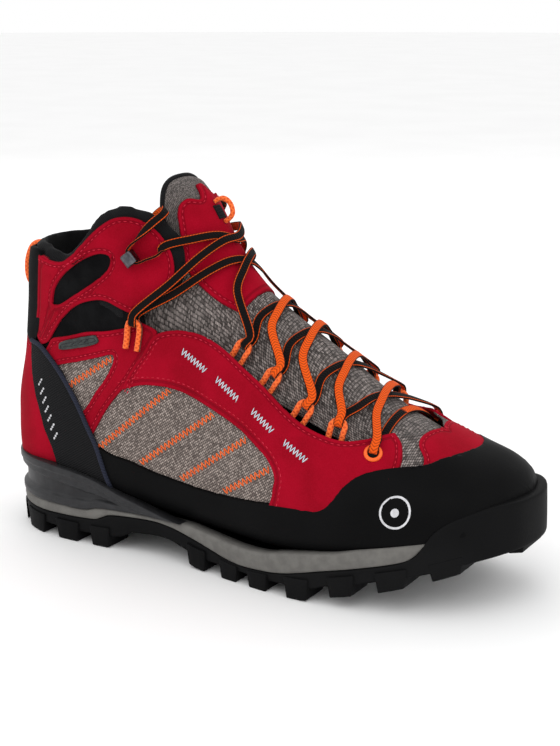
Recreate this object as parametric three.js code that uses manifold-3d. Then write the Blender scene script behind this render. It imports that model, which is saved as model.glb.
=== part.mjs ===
// Laced mid-height trekking boot, right foot, assembled from separate sewn and moulded pieces.
// Millimetres.  +X points to the toe, +Y to the inner (medial) side of the foot, +Z up.
// The origin is on the ground under the middle of the boot.
import * as THREE from 'three';
import { mergeVertices } from 'three/addons/utils/BufferGeometryUtils.js';
import Module from 'manifold-3d';

const wasm = await Module();
wasm.setup();

// ---------------------------------------------------------------- driving dimensions
const OUTSOLE_LENGTH = 300;     // heel edge to toe edge
const OUTSOLE_WIDTH = 108;      // across the ball of the foot
const TONGUE_TOP = 197;         // height of the tip of the tongue above the ground
const CLEARANCE = 0.3;          // air between neighbouring pieces
const SKIN_PROUD = 0.6;         // outer face of the upper, outside the last surface
const SKIN_THICKNESS = 1.8;     // leather, mesh and rubber of the upper
const LINING_THICKNESS = 2.5;   // padded lining
const LINING_SETBACK = 10;      // lining edge below the throat edge of the quarters
const FOOTBED_THICKNESS = 5;    // loose footbed
const LUG_DEPTH = 6.5;          // tread depth
const LUG_REACH = 19;           // how far the edge lugs run in under the boot
const TONGUE_THICKNESS = 6.4;   // foam tongue
const TONGUE_EASE = 1.3;        // air between the lace loops behind the quarters and the tongue
const OVERLAY_THICKNESS = 1.3;  // suede cover on the tongue
const COLLAR_PAD_THICKNESS = 4.2;
const COLLAR_PAD_DEPTH = 24;    // height of the padded collar roll
const COLLAR_PAD_RISE = 2.5;    // how far it stands above the cuff
const LACE_WIDTH = 3.6;
const LACE_THICKNESS = 1.3;
const LOOP_CORD = 2.2;          // diameter of the cord of the lace loops
const LOOP_REACH = 9.5;         // how far a lace loop stands into the throat
const LOOP_HALF_WIDTH = 3.4;    // half the spacing of its two legs
const PULL_CORD = 3;            // diameter of the heel and tongue pull loops
const HEEL_PULL_REACH = 9;      // how far the heel loop stands out
const TONGUE_PULL_REACH = 7.5;  // how far the tongue loop stands out
const PULL_SEAT = 0.65;         // air under the feet of both, so that they can swing
const EYELET_BORE = 5.4;
const EYELET_RIM = 1.7;         // radial width of the eyelet ring
const HOOK_WIDTH = 6;
const HOOK_METAL = 1.4;         // thickness of the pressed hook
const HOOK_THROAT = 4.3;        // open height under the lip of the hook
const HOOK_REACH = 8.5;         // length of the hook's plate
const LABEL_THICKNESS = 1.1;

// Base size of the pattern: every outline below is drawn for this size and graded from it.
const BASE_LENGTH = 300;
const BASE_WIDTH = 108;
const BASE_TOP = 197;
const FOXING_LINE = 46;         // below this height a taller shaft changes nothing
const gx = OUTSOLE_LENGTH / BASE_LENGTH;
const gy = OUTSOLE_WIDTH / BASE_WIDTH;
const gz = (TONGUE_TOP - FOXING_LINE) / (BASE_TOP - FOXING_LINE);
const X = (x) => x * gx;
const Y = (y) => y * gy;
const Z = (z) => (z <= FOXING_LINE ? z : FOXING_LINE + (z - FOXING_LINE) * gz);

// ---------------------------------------------------------------- the last
// Sections across the boot.  Each lies in a plane that holds the Y direction and runs from a
// point on the sole or heel (xb, zb) to one on the ridge (xt, zt).  yc is its centre, wl and wm
// its half widths outward and inward, vm the height of the widest place as a share of the
// section, nb and nt how square it is below and above that.
//  xb    zb    xt    zt  yc   wl    wm    vm   nb   nt
const LAST = [
  [143.5, 41, 143.5, 51, 7, 0, 0, 0.45, 2.4, 2.1],
  [141.5, 37, 139.5, 61.5, 6, 20, 19, 0.42, 3.0, 2.2],
  [134, 34, 129, 68.5, 4, 34, 32, 0.38, 3.6, 2.1],
  [117, 29.5, 111, 75, 2, 43.5, 42, 0.34, 4.2, 2.0],
  [92, 25, 85, 86.5, 0, 49, 48, 0.31, 4.6, 1.95],
  [64, 21, 58, 103, 0, 51, 48, 0.30, 4.8, 1.9],
  [32, 18.5, 30, 124, 0, 49.5, 44, 0.30, 4.8, 1.9],
  [-4, 19, 5, 140, 0, 45, 39, 0.33, 4.6, 1.9],
  [-44, 21, -8, 153, 0, 41, 37, 0.36, 4.4, 1.9],
  [-92, 22, -14, 162, 0, 40, 37.5, 0.38, 4.2, 2.0],
  [-138, 25, -19, 170, 0, 39, 37, 0.42, 3.4, 2.1],
  [-150, 60, -23, 177, 0, 37, 36, 0.46, 2.5, 2.2],
  [-146, 92, -27, 183, 0, 36.5, 36, 0.50, 2.3, 2.2],
  [-142, 120, -31, 188, 0, 38, 37.5, 0.52, 2.3, 2.2],
  [-138, 145, -37, 193, 0, 40, 39, 0.52, 2.3, 2.2],
  [-131, 163, -45, 199, 0, 41, 40, 0.52, 2.3, 2.2],
  [-120, 184, -56, 208, 0, 41, 40, 0.52, 2.3, 2.2],
].map((r) => [X(r[0]), Z(r[1]), X(r[2]), Z(r[3]), Y(r[4]), Y(r[5]), Y(r[6]), r[7], r[8], r[9]]);
const LAST_END = LAST.length - 1;

// The section before the first mirrors the second, so that the toe closes round.
const BEFORE_TOE = LAST[1].map((v, k) => {
  if (k === 5 || k === 6) return -v;
  if (k === 1 || k === 3) return 2 * LAST[0][k] - v;
  return v;
});

function section(t) {
  const i = Math.min(Math.floor(t), LAST_END - 1);
  const f = t - i;
  const a = i > 0 ? LAST[i - 1] : BEFORE_TOE;
  const b = LAST[i];
  const c = LAST[i + 1];
  const last = i + 2 > LAST_END;
  return b.map((_, k) => {
    const d = last ? 2 * c[k] - b[k] : LAST[i + 2][k];
    const p = a[k];
    return 0.5 * (2 * b[k] + (c[k] - p) * f + (2 * p - 5 * b[k] + 4 * c[k] - d) * f * f
      + (3 * b[k] - p - 3 * c[k] + d) * f * f * f);
  });
}

// A point of the surface d outside the last.  u runs round the section in turns:
// 0 on the ridge, 0.25 on the outer side, 0.5 at the sole or heel, 0.75 on the inner side.
function skin(t, u, d) {
  const [xb, zb, xt, zt, yc, wl, wm, vm, nb, nt] = section(t);
  const c = Math.cos(2 * Math.PI * u);
  const s = Math.sin(2 * Math.PI * u);
  const n = c >= 0 ? nt : nb;
  const w = Math.abs(s) < 1e-9 ? 0 : Math.pow(Math.abs(s), 2 / n);
  const cc = Math.abs(c) < 1e-9 ? 0 : Math.pow(Math.abs(c), 2 / n);
  const h = Math.hypot(xt - xb, zt - zb);
  const grow = d * Math.min(1, Math.max(wl, 0) / 30);
  const v = c >= 0 ? vm + (1 - vm) * cc : vm - vm * cc;
  const vv = v * (h + 2 * d) - d;
  const x = xb + ((xt - xb) / h) * vv + d * Math.max(0, 1 - t / 1.5);
  const z = zb + ((zt - zb) / h) * vv;
  const y = s >= 0 ? yc - (wl + grow) * w : yc + (wm + grow) * w;
  return new THREE.Vector3(x, y, z);
}

// Frame on the surface: position, direction toward the ridge, direction toward the toe, outward.
function skinFrame(t, u, d) {
  const side = u < 0.5 ? 1 : -1;
  const across = skin(t, u - side * 0.004, d).sub(skin(t, u + side * 0.004, d)).normalize();
  const toToe = skin(t - 0.04, u, d).sub(skin(t + 0.04, u, d));
  const out = new THREE.Vector3().crossVectors(across, toToe).multiplyScalar(side);
  if (out.dot(skin(t, u, d + 1).sub(skin(t, u, d))) < 0) out.negate();
  out.normalize();
  const along = new THREE.Vector3().crossVectors(out, across).normalize();
  if (along.dot(toToe) < 0) along.negate();
  return { p: skin(t, u, d), across, along, out };
}

// Section and turn of the surface point that has the side-view place (x, z) of the pattern,
// on the outer side for sign 1 and on the inner side for sign -1.
function onSkin(x, z, sign) {
  const gap = (t, u) => {
    const p = skin(t, u, 0);
    return [p.x - X(x), p.z - Z(z)];
  };
  let best = [0, 0, Infinity];
  for (let t = 0.5; t < LAST_END - 0.2; t += 0.25) {
    for (let u = 0.02; u < 0.5; u += 0.02) {
      const [a, b] = gap(t, u);
      const e = Math.hypot(a, b);
      if (e < best[2]) best = [t, u, e];
    }
  }
  let [t, u] = best;
  for (let i = 0; i < 12; i += 1) {
    const [a, b] = gap(t, u);
    const [at, bt] = gap(t + 1e-3, u);
    const [au, bu] = gap(t, u + 1e-4);
    const [xt, zt] = [(at - a) / 1e-3, (bt - b) / 1e-3];
    const [xu, zu] = [(au - a) / 1e-4, (bu - b) / 1e-4];
    const det = xt * zu - xu * zt;
    t = Math.min(Math.max(t - (a * zu - xu * b) / det, 0.2), LAST_END);
    u = Math.min(Math.max(u - (xt * b - a * zt) / det, 0.002), 0.498);
  }
  return { t, u: sign > 0 ? u : 1 - u };
}

function frameAt(x, z, sign, d = 0) {
  const { t, u } = onSkin(x, z, sign);
  return { ...skinFrame(t, u, d), t, u };
}

const inFrame = (f, a, b, n) =>
  f.p.clone().addScaledVector(f.across, a).addScaledVector(f.along, b).addScaledVector(f.out, n);

// ---------------------------------------------------------------- geometry helpers
function toSolid(geometry) {
  const g = geometry.clone();
  g.deleteAttribute('normal');
  g.deleteAttribute('uv');
  const m = mergeVertices(g, 1e-4);
  const tris = [];
  const idx = m.index.array;
  for (let i = 0; i < idx.length; i += 3) {
    const [a, b, c] = [idx[i], idx[i + 1], idx[i + 2]];
    if (a !== b && b !== c && c !== a) tris.push(a, b, c);
  }
  const vertProperties = new Float32Array(m.attributes.position.array);
  const mesh = new wasm.Mesh({ numProp: 3, vertProperties, triVerts: new Uint32Array(tris) });
  const solid = new wasm.Manifold(mesh);
  return solid.volume() < 0 ? toSolid(flip(m, tris)) : solid;
}

function flip(m, tris) {
  const g = new THREE.BufferGeometry();
  g.setAttribute('position', m.attributes.position.clone());
  const back = [];
  for (let i = 0; i < tris.length; i += 3) back.push(tris[i], tris[i + 2], tris[i + 1]);
  g.setIndex(back);
  return g;
}

function toGeometry(solid) {
  const parts = solid.decompose();
  parts.sort((a, b) => b.volume() - a.volume());
  const mesh = parts[0].getMesh();
  const g = new THREE.BufferGeometry();
  g.setAttribute('position', new THREE.BufferAttribute(mesh.vertProperties, 3));
  g.setIndex(new THREE.BufferAttribute(mesh.triVerts, 1));
  return g;
}

// Closed body from rings of points, with flat or pointed ends.
function loft(rings, closedEnds = true) {
  const n = rings[0].length;
  const pos = [];
  rings.forEach((r) => r.forEach((p) => pos.push(p.x, p.y, p.z)));
  const idx = [];
  for (let j = 0; j + 1 < rings.length; j += 1) {
    for (let k = 0; k < n; k += 1) {
      const a = j * n + k;
      const b = j * n + ((k + 1) % n);
      idx.push(a, b, a + n, b, b + n, a + n);
    }
  }
  const cap = (j, turn) => {
    const mid = new THREE.Vector3();
    rings[j].forEach((p) => mid.addScaledVector(p, 1 / n));
    const c = pos.length / 3;
    pos.push(mid.x, mid.y, mid.z);
    for (let k = 0; k < n; k += 1) {
      const a = j * n + k;
      const b = j * n + ((k + 1) % n);
      if (turn) idx.push(c, b, a);
      else idx.push(c, a, b);
    }
  };
  if (closedEnds) cap(0, true);
  cap(rings.length - 1, false);
  const g = new THREE.BufferGeometry();
  g.setAttribute('position', new THREE.Float32BufferAttribute(pos, 3));
  g.setIndex(idx);
  return g;
}

// How far the tongue's face lies below the last surface: skin, air, loop cord and ease.
const TONGUE_DROP = SKIN_THICKNESS - SKIN_PROUD + CLEARANCE + LOOP_CORD + TONGUE_EASE;

const FINE = [0, 0.4, 0.9, 1.5, 2.2, 3, 3.9, 4.8, 5.7, 6.6, 7.5, 8.5, 9.3, 9.8, 10.3, 11.2, 12.4, 13.6,
  14.6, 15.9];
const COARSE = [0, 0.6, 1.3, 2.2, 3.4, 4.8, 6.2, 7.6, 8.9, 9.6, 10.2, 11, 12.4, 13.8, 14.8, 15.9];

function lastSolid(d, stations = FINE, around = 22) {
  const rings = stations.map((t) => {
    const ring = [];
    for (let k = 0; k < around; k += 1) ring.push(skin(t, k / around, d));
    return ring;
  });
  return toSolid(loft(rings, false));
}

function shape2(points) {
  const s = new THREE.Shape();
  points.forEach(([x, y], i) => (i === 0 ? s.moveTo(x, y) : s.lineTo(x, y)));
  s.closePath();
  return s;
}

// Side-view outline (x, z) carried across the boot from y0 to y1.
function sidePrism(points, y0 = -90, y1 = 90) {
  const pts = points.map(([x, z]) => [X(x), Z(z)]);
  const g = new THREE.ExtrudeGeometry(shape2(pts), { depth: y1 - y0, bevelEnabled: false });
  g.rotateX(Math.PI / 2);
  g.translate(0, y1, 0);
  return toSolid(g);
}

// Plan outline (x, y) carried up from z0 to z1.
function planPrism(points, z0, z1) {
  const pts = points.map(([x, y]) => [X(x), Y(y)]);
  const g = new THREE.ExtrudeGeometry(shape2(pts), { depth: z1 - z0, bevelEnabled: false });
  g.translate(0, 0, z0);
  return toSolid(g);
}

// Outline moved outward by g, for the air round an inset piece.
function grow(points, g) {
  const n = points.length;
  let area = 0;
  points.forEach(([x, z], i) => {
    const [a, b] = points[(i + 1) % n];
    area += x * b - a * z;
  });
  const s = area > 0 ? 1 : -1;
  return points.map((p, i) => {
    const a = points[(i + n - 1) % n];
    const b = points[(i + 1) % n];
    const u = new THREE.Vector2(p[0] - a[0], p[1] - a[1]).normalize();
    const v = new THREE.Vector2(b[0] - p[0], b[1] - p[1]).normalize();
    const nu = new THREE.Vector2(u.y, -u.x).multiplyScalar(s);
    const nv = new THREE.Vector2(v.y, -v.x).multiplyScalar(s);
    const m = nu.clone().add(nv);
    const k = Math.max(m.lengthSq() / 2, 0.35);
    return [p[0] + (m.x * g) / k, p[1] + (m.y * g) / k];
  });
}

const bandUnder = (top, bottom) => [...top, ...[...bottom].reverse()];
const shift = (line, dz) => line.map(([x, z]) => [x, z + dz]);

// ---------------------------------------------------------------- outlines of the bottom unit
const SOLE_OUTER = [[150, 7], [147.5, -9], [142, -20], [133, -31], [118, -42], [100, -49.5],
  [80, -53.5], [60, -54.8], [40, -54], [20, -51], [0, -47.5], [-20, -44], [-40, -42], [-60, -41.5],
  [-80, -41.5], [-100, -41.5], [-118, -39], [-132, -32], [-142, -22], [-148, -11]];
const SOLE_INNER = [[-150, 0], [-148, 10.5], [-142, 21], [-132, 30], [-118, 36.5], [-100, 38.5],
  [-80, 38], [-60, 37], [-40, 36.5], [-20, 37], [0, 40], [20, 44.5], [40, 49.2], [60, 52.6],
  [80, 53.2], [100, 51.5], [118, 47], [133, 39.5], [142, 31], [147.5, 21]];
const SOLE_PLAN = [...SOLE_OUTER, ...SOLE_INNER];
const CRADLE_PLAN = SOLE_PLAN.map(([x, y]) => [x < -60 ? x * 1.006 : x, y * (x < -40 ? 1.025 : 1.01)]);

const GROUND = [[-152, 0], [-72, 0], [-66, 2], [-58, 9], [-36, 11], [-27, 8], [-20, 2], [-6, 0], [50, 0],
  [65, 4], [80, 7.5], [96, 12], [114, 17.5], [131, 23], [152, 28]];
const TREAD_FLOOR = [[-152, LUG_DEPTH], [-72, LUG_DEPTH], [-60, 11], [-36, 12.5], [-22, 9],
  [-6, LUG_DEPTH], [50, LUG_DEPTH], [65, 10], [80, 13.5], [96, 17.5], [114, 22], [131, 27], [152, 31.5]];
const STRIPE_BOTTOM = [[-152, 13], [-87, 14], [-77, 16], [-70, 18.5], [-46, 20], [-32, 19], [-18, 16],
  [-5, 13], [8, 10], [21, 9.5], [40, 11.5], [62, 17], [83, 22], [102, 27], [108, 30], [112, 34],
  [113, 36.5]];
const STRIPE_TOP = [[-152, 19.5], [-104, 19], [-87, 19], [-74, 21.5], [-26, 22.5], [-12, 21.5],
  [2, 20], [15, 19], [28, 19.5], [40, 22], [51, 24], [68, 27], [83, 31], [102, 35], [112, 37.5]];
const CRADLE_TOP = [[-152, 41], [-135, 41.5], [-116, 41.5], [-104, 40.5], [-91, 39], [-78, 36],
  [-65, 31.5], [-52, 28], [-40, 25], [-30, 23.2]];
const BUMPER_TOP = [[112.6, 38], [117, 43], [122, 47.5], [128, 50.5], [135, 53], [143, 54], [152, 54]];

// ---------------------------------------------------------------- outlines of the upper
// Everything below this line, side view, is boot; above it the throat and the shaft are open.
const COLLAR_AND_THROAT = [[-165, 157], [-131, 157], [-113, 153], [-101, 150.5], [-93, 154],
  [-86, 160], [-73, 171.5], [-64, 176], [-55, 175.5], [-47, 170], [-40, 160], [-37, 150], [-38.5, 140],
  [-46, 133], [-57, 127.5], [-60, 121.5], [-54, 117.5], [-46, 119], [-34, 120.5], [-24, 120.5],
  [-13, 118], [-2, 113], [8, 107], [21, 99.5], [33, 91.5], [44, 85], [56, 80.5], [67, 78.5],
  [76, 79.5], [86, 80], [96, 78.5], [104, 79.5], [112, 84]];
const THROAT_START = 17;        // first throat point of that list
const BOTTOM_OF_SIDE = [[165, 0], [-165, 0]];
const BOARD_TOP = [[-165, 32], [-118, 28.5], [-92, 26.5], [-60, 24.5], [-20, 21.8], [20, 20.6],
  [45, 22], [64, 24.4], [92, 28.8], [117, 33.6], [134, 38.2], [165, 45]];
const RAND_TOP = [[-86, 61], [-80, 56], [-70, 52], [-57, 50], [-38, 46], [-12, 43.5], [12, 43.5], [32, 45],
  [50, 46], [61, 47.5], [67, 53], [72, 60], [79, 65.5], [88, 68], [104, 69.5], [118, 71.5],
  [126, 70.5], [170, 74]];
const HEEL_PANEL = [[-170, 30], [-120, 30], [-119.5, 50], [-121, 64], [-125, 82], [-126, 102],
  [-170, 102]];
const HEEL_TAB = [[-170, 102.4], [-125.6, 102.4], [-121, 110], [-117.5, 127], [-113.5, 152.7],
  [-113, 190], [-170, 190]];
const STRAP = [[-119.2, 30], [-118.8, 50], [-120.4, 64], [-124.4, 82], [-125.4, 101], [-116, 101],
  [-108, 95.5], [-100, 88], [-93, 76], [-88, 64], [-81, 50], [-77, 30]];
const TOE_OVERLAY = [[99, 60], [105, 70], [95.5, 80.5], [98, 95], [170, 95], [170, 60]];
const VAMP_MESH = [[98.2, 60], [104, 69.8], [94.5, 80], [97, 92], [86, 92], [89, 78], [94, 70], [90, 60]];
const SIDE_MESH = [[-82, 62], [-73, 76], [-62, 87.5], [-50, 91.5], [-38, 92.5], [-26, 91.5], [-13, 88],
  [0, 83.5], [12, 78.5], [22, 72.5], [30, 66.5], [34.5, 60.5], [33.5, 52], [30, 40], [-83, 40]];
const REAR_MESH = [[-109, 92.5], [-103, 95.5], [-88, 99.5], [-71, 105], [-66.5, 104], [-71, 94],
  [-78, 85], [-86, 74.5], [-91, 72], [-97, 83]];
const CUFF = [[-126, 104.5], [-112, 102.8], [-100, 103], [-88, 104.5], [-75, 108.5], [-64, 112.5],
  [-61, 117], [-62, 123], [-52, 134], [-20, 134], [-20, 200], [-130, 200]];
const UPPER_INSERT = [[-108, 127], [-105, 136], [-97, 145], [-86, 152.5], [-76, 156.5], [-70, 155.5],
  [-71, 149], [-79, 142], [-91, 134.5], [-102, 128]];
const LOWER_INSERT = [[-111, 110], [-107, 117], [-97, 125.5], [-86, 131], [-76, 133], [-66, 130.5],
  [-58, 125.5], [-56.5, 121], [-67, 118.5], [-85, 115.5], [-100, 111.5]];
const LABEL = [[-103, 104.9], [-101, 108], [-91, 111.5], [-81, 114], [-77.5, 113], [-77.5, 110.2],
  [-80, 108.6], [-90, 106.3], [-100, 104.3]];

// ---------------------------------------------------------------- materials
const material = (color, roughness, metalness = 0) =>
  new THREE.MeshStandardMaterial({ color, roughness, metalness });
const SUEDE_RED = material(0x9b0f22, 0.88);
const MESH_GREY = material(0x6f6863, 0.92);
const RUBBER_BLACK = material(0x151516, 0.62);
const EVA_GREY = material(0x77736f, 0.8);
const MOULDED_CHARCOAL = material(0x232326, 0.55);
const SOFTSHELL_BLACK = material(0x141417, 0.85);
const WEBBING_BLACK = material(0x121214, 0.8);
const LINING_BLACK = material(0x1b1b1e, 0.95);
const CORD_ORANGE = material(0xf2672a, 0.7);
const LACE_BLACK = material(0x2a1c18, 0.8);
const GUNMETAL = material(0x4b4d52, 0.32, 0.9);
const LABEL_GREY = material(0x3c4140, 0.6);
const BOARD_TAN = material(0xb29a72, 0.9);
const FOOTBED_BLACK = material(0x202024, 0.95);

const boot = new THREE.Group();
const put = (name, geometry, mat) => {
  const m = new THREE.Mesh(geometry, mat);
  m.name = name;
  boot.add(m);
  return m;
};
const putSolid = (name, solid, mat) => put(name, toGeometry(solid), mat);

// ---------------------------------------------------------------- shells of the upper
const skinOut = lastSolid(SKIN_PROUD);
const skinIn = lastSolid(SKIN_PROUD - SKIN_THICKNESS);
const liningFace = SKIN_PROUD - SKIN_THICKNESS - CLEARANCE;
const liningBack = liningFace - LINING_THICKNESS;
const liningOut = lastSolid(liningFace);
const liningIn = lastSolid(liningBack, COARSE, 18);
const cavity = lastSolid(liningBack - CLEARANCE, COARSE, 18);
const nest = lastSolid(SKIN_PROUD + CLEARANCE);

const above = (line) => sidePrism([...line, [165, 260], [-165, 260]]);
const bootSide = sidePrism([...COLLAR_AND_THROAT, [165, 84], ...BOTTOM_OF_SIDE]);
const overBoard = above(shift(BOARD_TOP, CLEARANCE));
const skinShell = skinOut.subtract(skinIn).intersect(bootSide).intersect(overBoard);

let skinLeft = skinShell;
const cutWrap = (outline, gap = CLEARANCE) => {
  const piece = skinLeft.intersect(sidePrism(outline));
  skinLeft = skinLeft.subtract(sidePrism(grow(outline, gap)));
  return piece;
};
const randOutline = [...RAND_TOP, [170, 10], [-76, 10], [-80, 48]];
putSolid('rubber_rand', cutWrap(randOutline), RUBBER_BLACK);
putSolid('heel_panel', cutWrap(HEEL_PANEL), SUEDE_RED);
putSolid('heel_tab', cutWrap(HEEL_TAB), SOFTSHELL_BLACK);
putSolid('toe_overlay', cutWrap(TOE_OVERLAY), SUEDE_RED);

const EYELET_AT = [81, 74];
const SIDES = [['lateral', -90, -CLEARANCE / 2, 1], ['medial', CLEARANCE / 2, 90, -1]];

// Straight round hole along the surface normal.
function boreAt(f, radius, reach) {
  const g = new THREE.CylinderGeometry(radius, radius, reach * 2, 14);
  const q = new THREE.Quaternion().setFromUnitVectors(new THREE.Vector3(0, 1, 0), f.out);
  g.applyQuaternion(q);
  g.translate(f.p.x, f.p.y, f.p.z);
  return toSolid(g);
}

for (const [side, y0, y1, sign] of SIDES) {
  let left = skinLeft.intersect(sidePrism([[-170, -5], [170, -5], [170, 260], [-170, 260]], y0, y1));
  const cut = (outline) => {
    const piece = left.intersect(sidePrism(outline));
    left = left.subtract(sidePrism(grow(outline, CLEARANCE)));
    return piece;
  };
  putSolid(`heel_strap_${side}`, cut(STRAP), WEBBING_BLACK);
  putSolid(`side_mesh_${side}`, cut(SIDE_MESH), MESH_GREY);
  putSolid(`rear_mesh_${side}`, cut(REAR_MESH), MESH_GREY);
  putSolid(`vamp_mesh_${side}`, cut(VAMP_MESH), MESH_GREY);
  putSolid(`upper_insert_${side}`, cut(UPPER_INSERT), SOFTSHELL_BLACK);
  putSolid(`lower_insert_${side}`, cut(LOWER_INSERT), SOFTSHELL_BLACK);
  putSolid(`cuff_${side}`, cut(CUFF), SUEDE_RED);
  const eye = frameAt(...EYELET_AT, sign);
  putSolid(`quarter_${side}`, left.subtract(boreAt(eye, EYELET_BORE / 2, 8)), SUEDE_RED);
}

// ---------------------------------------------------------------- lining, board and footbed
const throat = COLLAR_AND_THROAT.slice(THROAT_START);
const setback = LINING_SETBACK / gz;
const liningEdge = [...COLLAR_AND_THROAT.slice(0, THROAT_START - 4), [-52, 131], [-56, 124],
  [-50, 119 - setback], ...shift(throat.slice(1), -setback), [165, 84]];
const liningSide = sidePrism([...liningEdge, ...BOTTOM_OF_SIDE]);
const lining = liningOut.subtract(liningIn).intersect(liningSide).intersect(overBoard);
const slab = (x0, x1) => [[x0, -5], [x1, -5], [x1, 260], [x0, 260]];
putSolid('vamp_lining', lining.intersect(sidePrism(slab(62, 170))), LINING_BLACK);
putSolid('heel_lining', lining.intersect(sidePrism(slab(-170, -96))), LINING_BLACK);
for (const [side, y0, y1] of SIDES) {
  const middle = lining.intersect(sidePrism(slab(-96 + CLEARANCE, 62 - CLEARANCE), y0, y1));
  putSolid(`quarter_lining_${side}`, middle, LINING_BLACK);
}
const underBoard = sidePrism([...BOARD_TOP, ...BOTTOM_OF_SIDE]);
putSolid('lasting_board', skinOut.intersect(underBoard), BOARD_TAN);
const footbedTop = sidePrism([...shift(BOARD_TOP, CLEARANCE + FOOTBED_THICKNESS), ...BOTTOM_OF_SIDE]);
putSolid('footbed', cavity.intersect(overBoard).intersect(footbedTop), FOOTBED_BLACK);

// ---------------------------------------------------------------- collar roll
const collarLine = COLLAR_AND_THROAT.slice(1, 9);
const padRegion = [[-165, 157 + COLLAR_PAD_RISE], ...shift(collarLine, COLLAR_PAD_RISE),
  [-57, 176], [-60, 168], [-62, 158], ...shift([...collarLine].reverse().slice(2), -COLLAR_PAD_DEPTH),
  [-165, 157 - COLLAR_PAD_DEPTH]];
const padOut = cavity;
const padIn = lastSolid(liningBack - CLEARANCE - COLLAR_PAD_THICKNESS, COARSE, 18);
putSolid('collar_pad', padOut.subtract(padIn).intersect(sidePrism(padRegion)), LINING_BLACK);

// ---------------------------------------------------------------- bottom unit
const solePrism = planPrism(SOLE_PLAN, -5, 90);
const soleLayer = (top, bottom, plan = solePrism) =>
  plan.intersect(sidePrism(bandUnder(top, bottom))).subtract(nest);

const outsoleTop = [...shift(STRIPE_BOTTOM.slice(0, -1), -CLEARANCE), ...BUMPER_TOP];
let outsole = solePrism.intersect(sidePrism(bandUnder(outsoleTop, TREAD_FLOOR)));
const treadZone = solePrism.intersect(sidePrism(bandUnder(shift(TREAD_FLOOR, 1), GROUND)));
const box = (x0, x1, ya, yb) => planPrism([[x0, ya], [x1, ya], [x1, yb], [x0, yb]], -4, 60);
// Edge lugs, heel to toe: start and end along the boot.
const EDGE_LUGS = [[-150, -139], [-133, -115], [-107, -91], [-84, -71], [-21, -8], [1, 13], [19, 32],
  [42, 56], [66, 80], [90, 105], [114, 128]];
const REACH = LUG_REACH / gy;
for (const [a, b] of EDGE_LUGS) {
  outsole = outsole.add(treadZone.intersect(box(a, b, -60, a < -60 ? -41 + REACH : -50 + REACH)));
  outsole = outsole.add(treadZone.intersect(box(a, b, a < -60 ? 38 - REACH : 48 - REACH, 60)));
}
// Centre lugs under the ball and heel, and the toe lug.
const CENTRE_LUGS = [[-128, -112, -11, 9], [-99, -85, -11, 9], [2, 20, -15, 13], [32, 50, -18, 16],
  [62, 78, -18, 16], [92, 108, -16, 16], [138, 152, -12, 24]];
for (const [a, b, ya, yb] of CENTRE_LUGS) {
  outsole = outsole.add(treadZone.intersect(box(a, b, ya, yb)));
}
putSolid('outsole', outsole.subtract(nest), RUBBER_BLACK);
const stripeTop = [...STRIPE_TOP.slice(0, -1), [112, 36.8]];
const stripeBottom = [...STRIPE_BOTTOM.slice(0, -2), [112, 34]];
putSolid('midsole', soleLayer(stripeTop, stripeBottom), EVA_GREY);
const cradlePrism = planPrism(CRADLE_PLAN, -5, 90);
const cradleBottom = shift([...STRIPE_TOP.filter(([x]) => x < -30), [-30, 22.6]], CLEARANCE);
putSolid('heel_cradle', soleLayer(CRADLE_TOP, cradleBottom, cradlePrism), MOULDED_CHARCOAL);

// ---------------------------------------------------------------- tongue
// Half width of the tongue along the boot, in turns round the section: narrow at its root,
// wide where its gusset fills the instep, narrow again inside the cuff.
const TONGUE_PLAN = [[3.3, 0.1], [4.4, 0.135], [6, 0.15], [8, 0.168], [9.6, 0.178], [10.4, 0.165],
  [11.2, 0.128], [12.2, 0.116], [15.6, 0.112]];
const TONGUE_TIP = 15.1;
const TONGUE_ROOT = 3.35;
const OVERLAY_ROOT = 7.4;
const OVERLAY_TIP = 14;
const OVERLAY_SPREAD = 0.1;
const OVERLAY_EASE = 0.2;       // further air under the overlay, where the tongue bends

function between(table, t) {
  if (t <= table[0][0]) return table[0][1];
  for (let i = 1; i < table.length; i += 1) {
    const [t0, v0] = table[i - 1];
    const [t1, v1] = table[i];
    if (t <= t1) return v0 + ((v1 - v0) * (t - t0)) / (t1 - t0);
  }
  return table[table.length - 1][1];
}

// Slab on the surface between the offsets dIn and dOut.  place(s, r) gives t and u for s along
// the boot and r across it, both from 0 to 1.
function slabOnSkin(place, dIn, dOut, nAlong, nAcross) {
  const rings = [];
  for (let j = 0; j <= nAlong; j += 1) {
    const ring = [];
    for (let k = 0; k <= nAcross; k += 1) {
      const [t, u] = place(j / nAlong, k / nAcross);
      ring.push(skin(t, u, dOut));
    }
    for (let k = nAcross; k >= 0; k -= 1) {
      const [t, u] = place(j / nAlong, k / nAcross);
      ring.push(skin(t, u, dIn));
    }
    rings.push(ring);
  }
  return loft(rings);
}

const wrap = (u) => (u < 0 ? u + 1 : u);
const tonguePlace = (s, r) => {
  const x = 2 * r - 1;
  const tip = TONGUE_TIP - 1.5 * x * x * x * x;
  const t = TONGUE_ROOT + (tip - TONGUE_ROOT) * s;
  return [t, wrap(x * between(TONGUE_PLAN, t))];
};
const tongueGeometry = slabOnSkin(tonguePlace, -TONGUE_DROP - TONGUE_THICKNESS, -TONGUE_DROP, 16, 6);
putSolid('tongue_pad', toSolid(tongueGeometry), MESH_GREY);
const overlayPlace = (s, r) => {
  const x = 2 * r - 1;
  const tip = OVERLAY_TIP - 0.7 * x * x * x * x;
  const t = OVERLAY_ROOT + (tip - OVERLAY_ROOT) * s;
  return [t, wrap(x * OVERLAY_SPREAD)];
};
const overlayIn = -TONGUE_DROP + CLEARANCE + OVERLAY_EASE;
const overlayOut = overlayIn + OVERLAY_THICKNESS;
putSolid('tongue_overlay', toSolid(slabOnSkin(overlayPlace, overlayIn, overlayOut, 12, 6)), SUEDE_RED);

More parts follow.
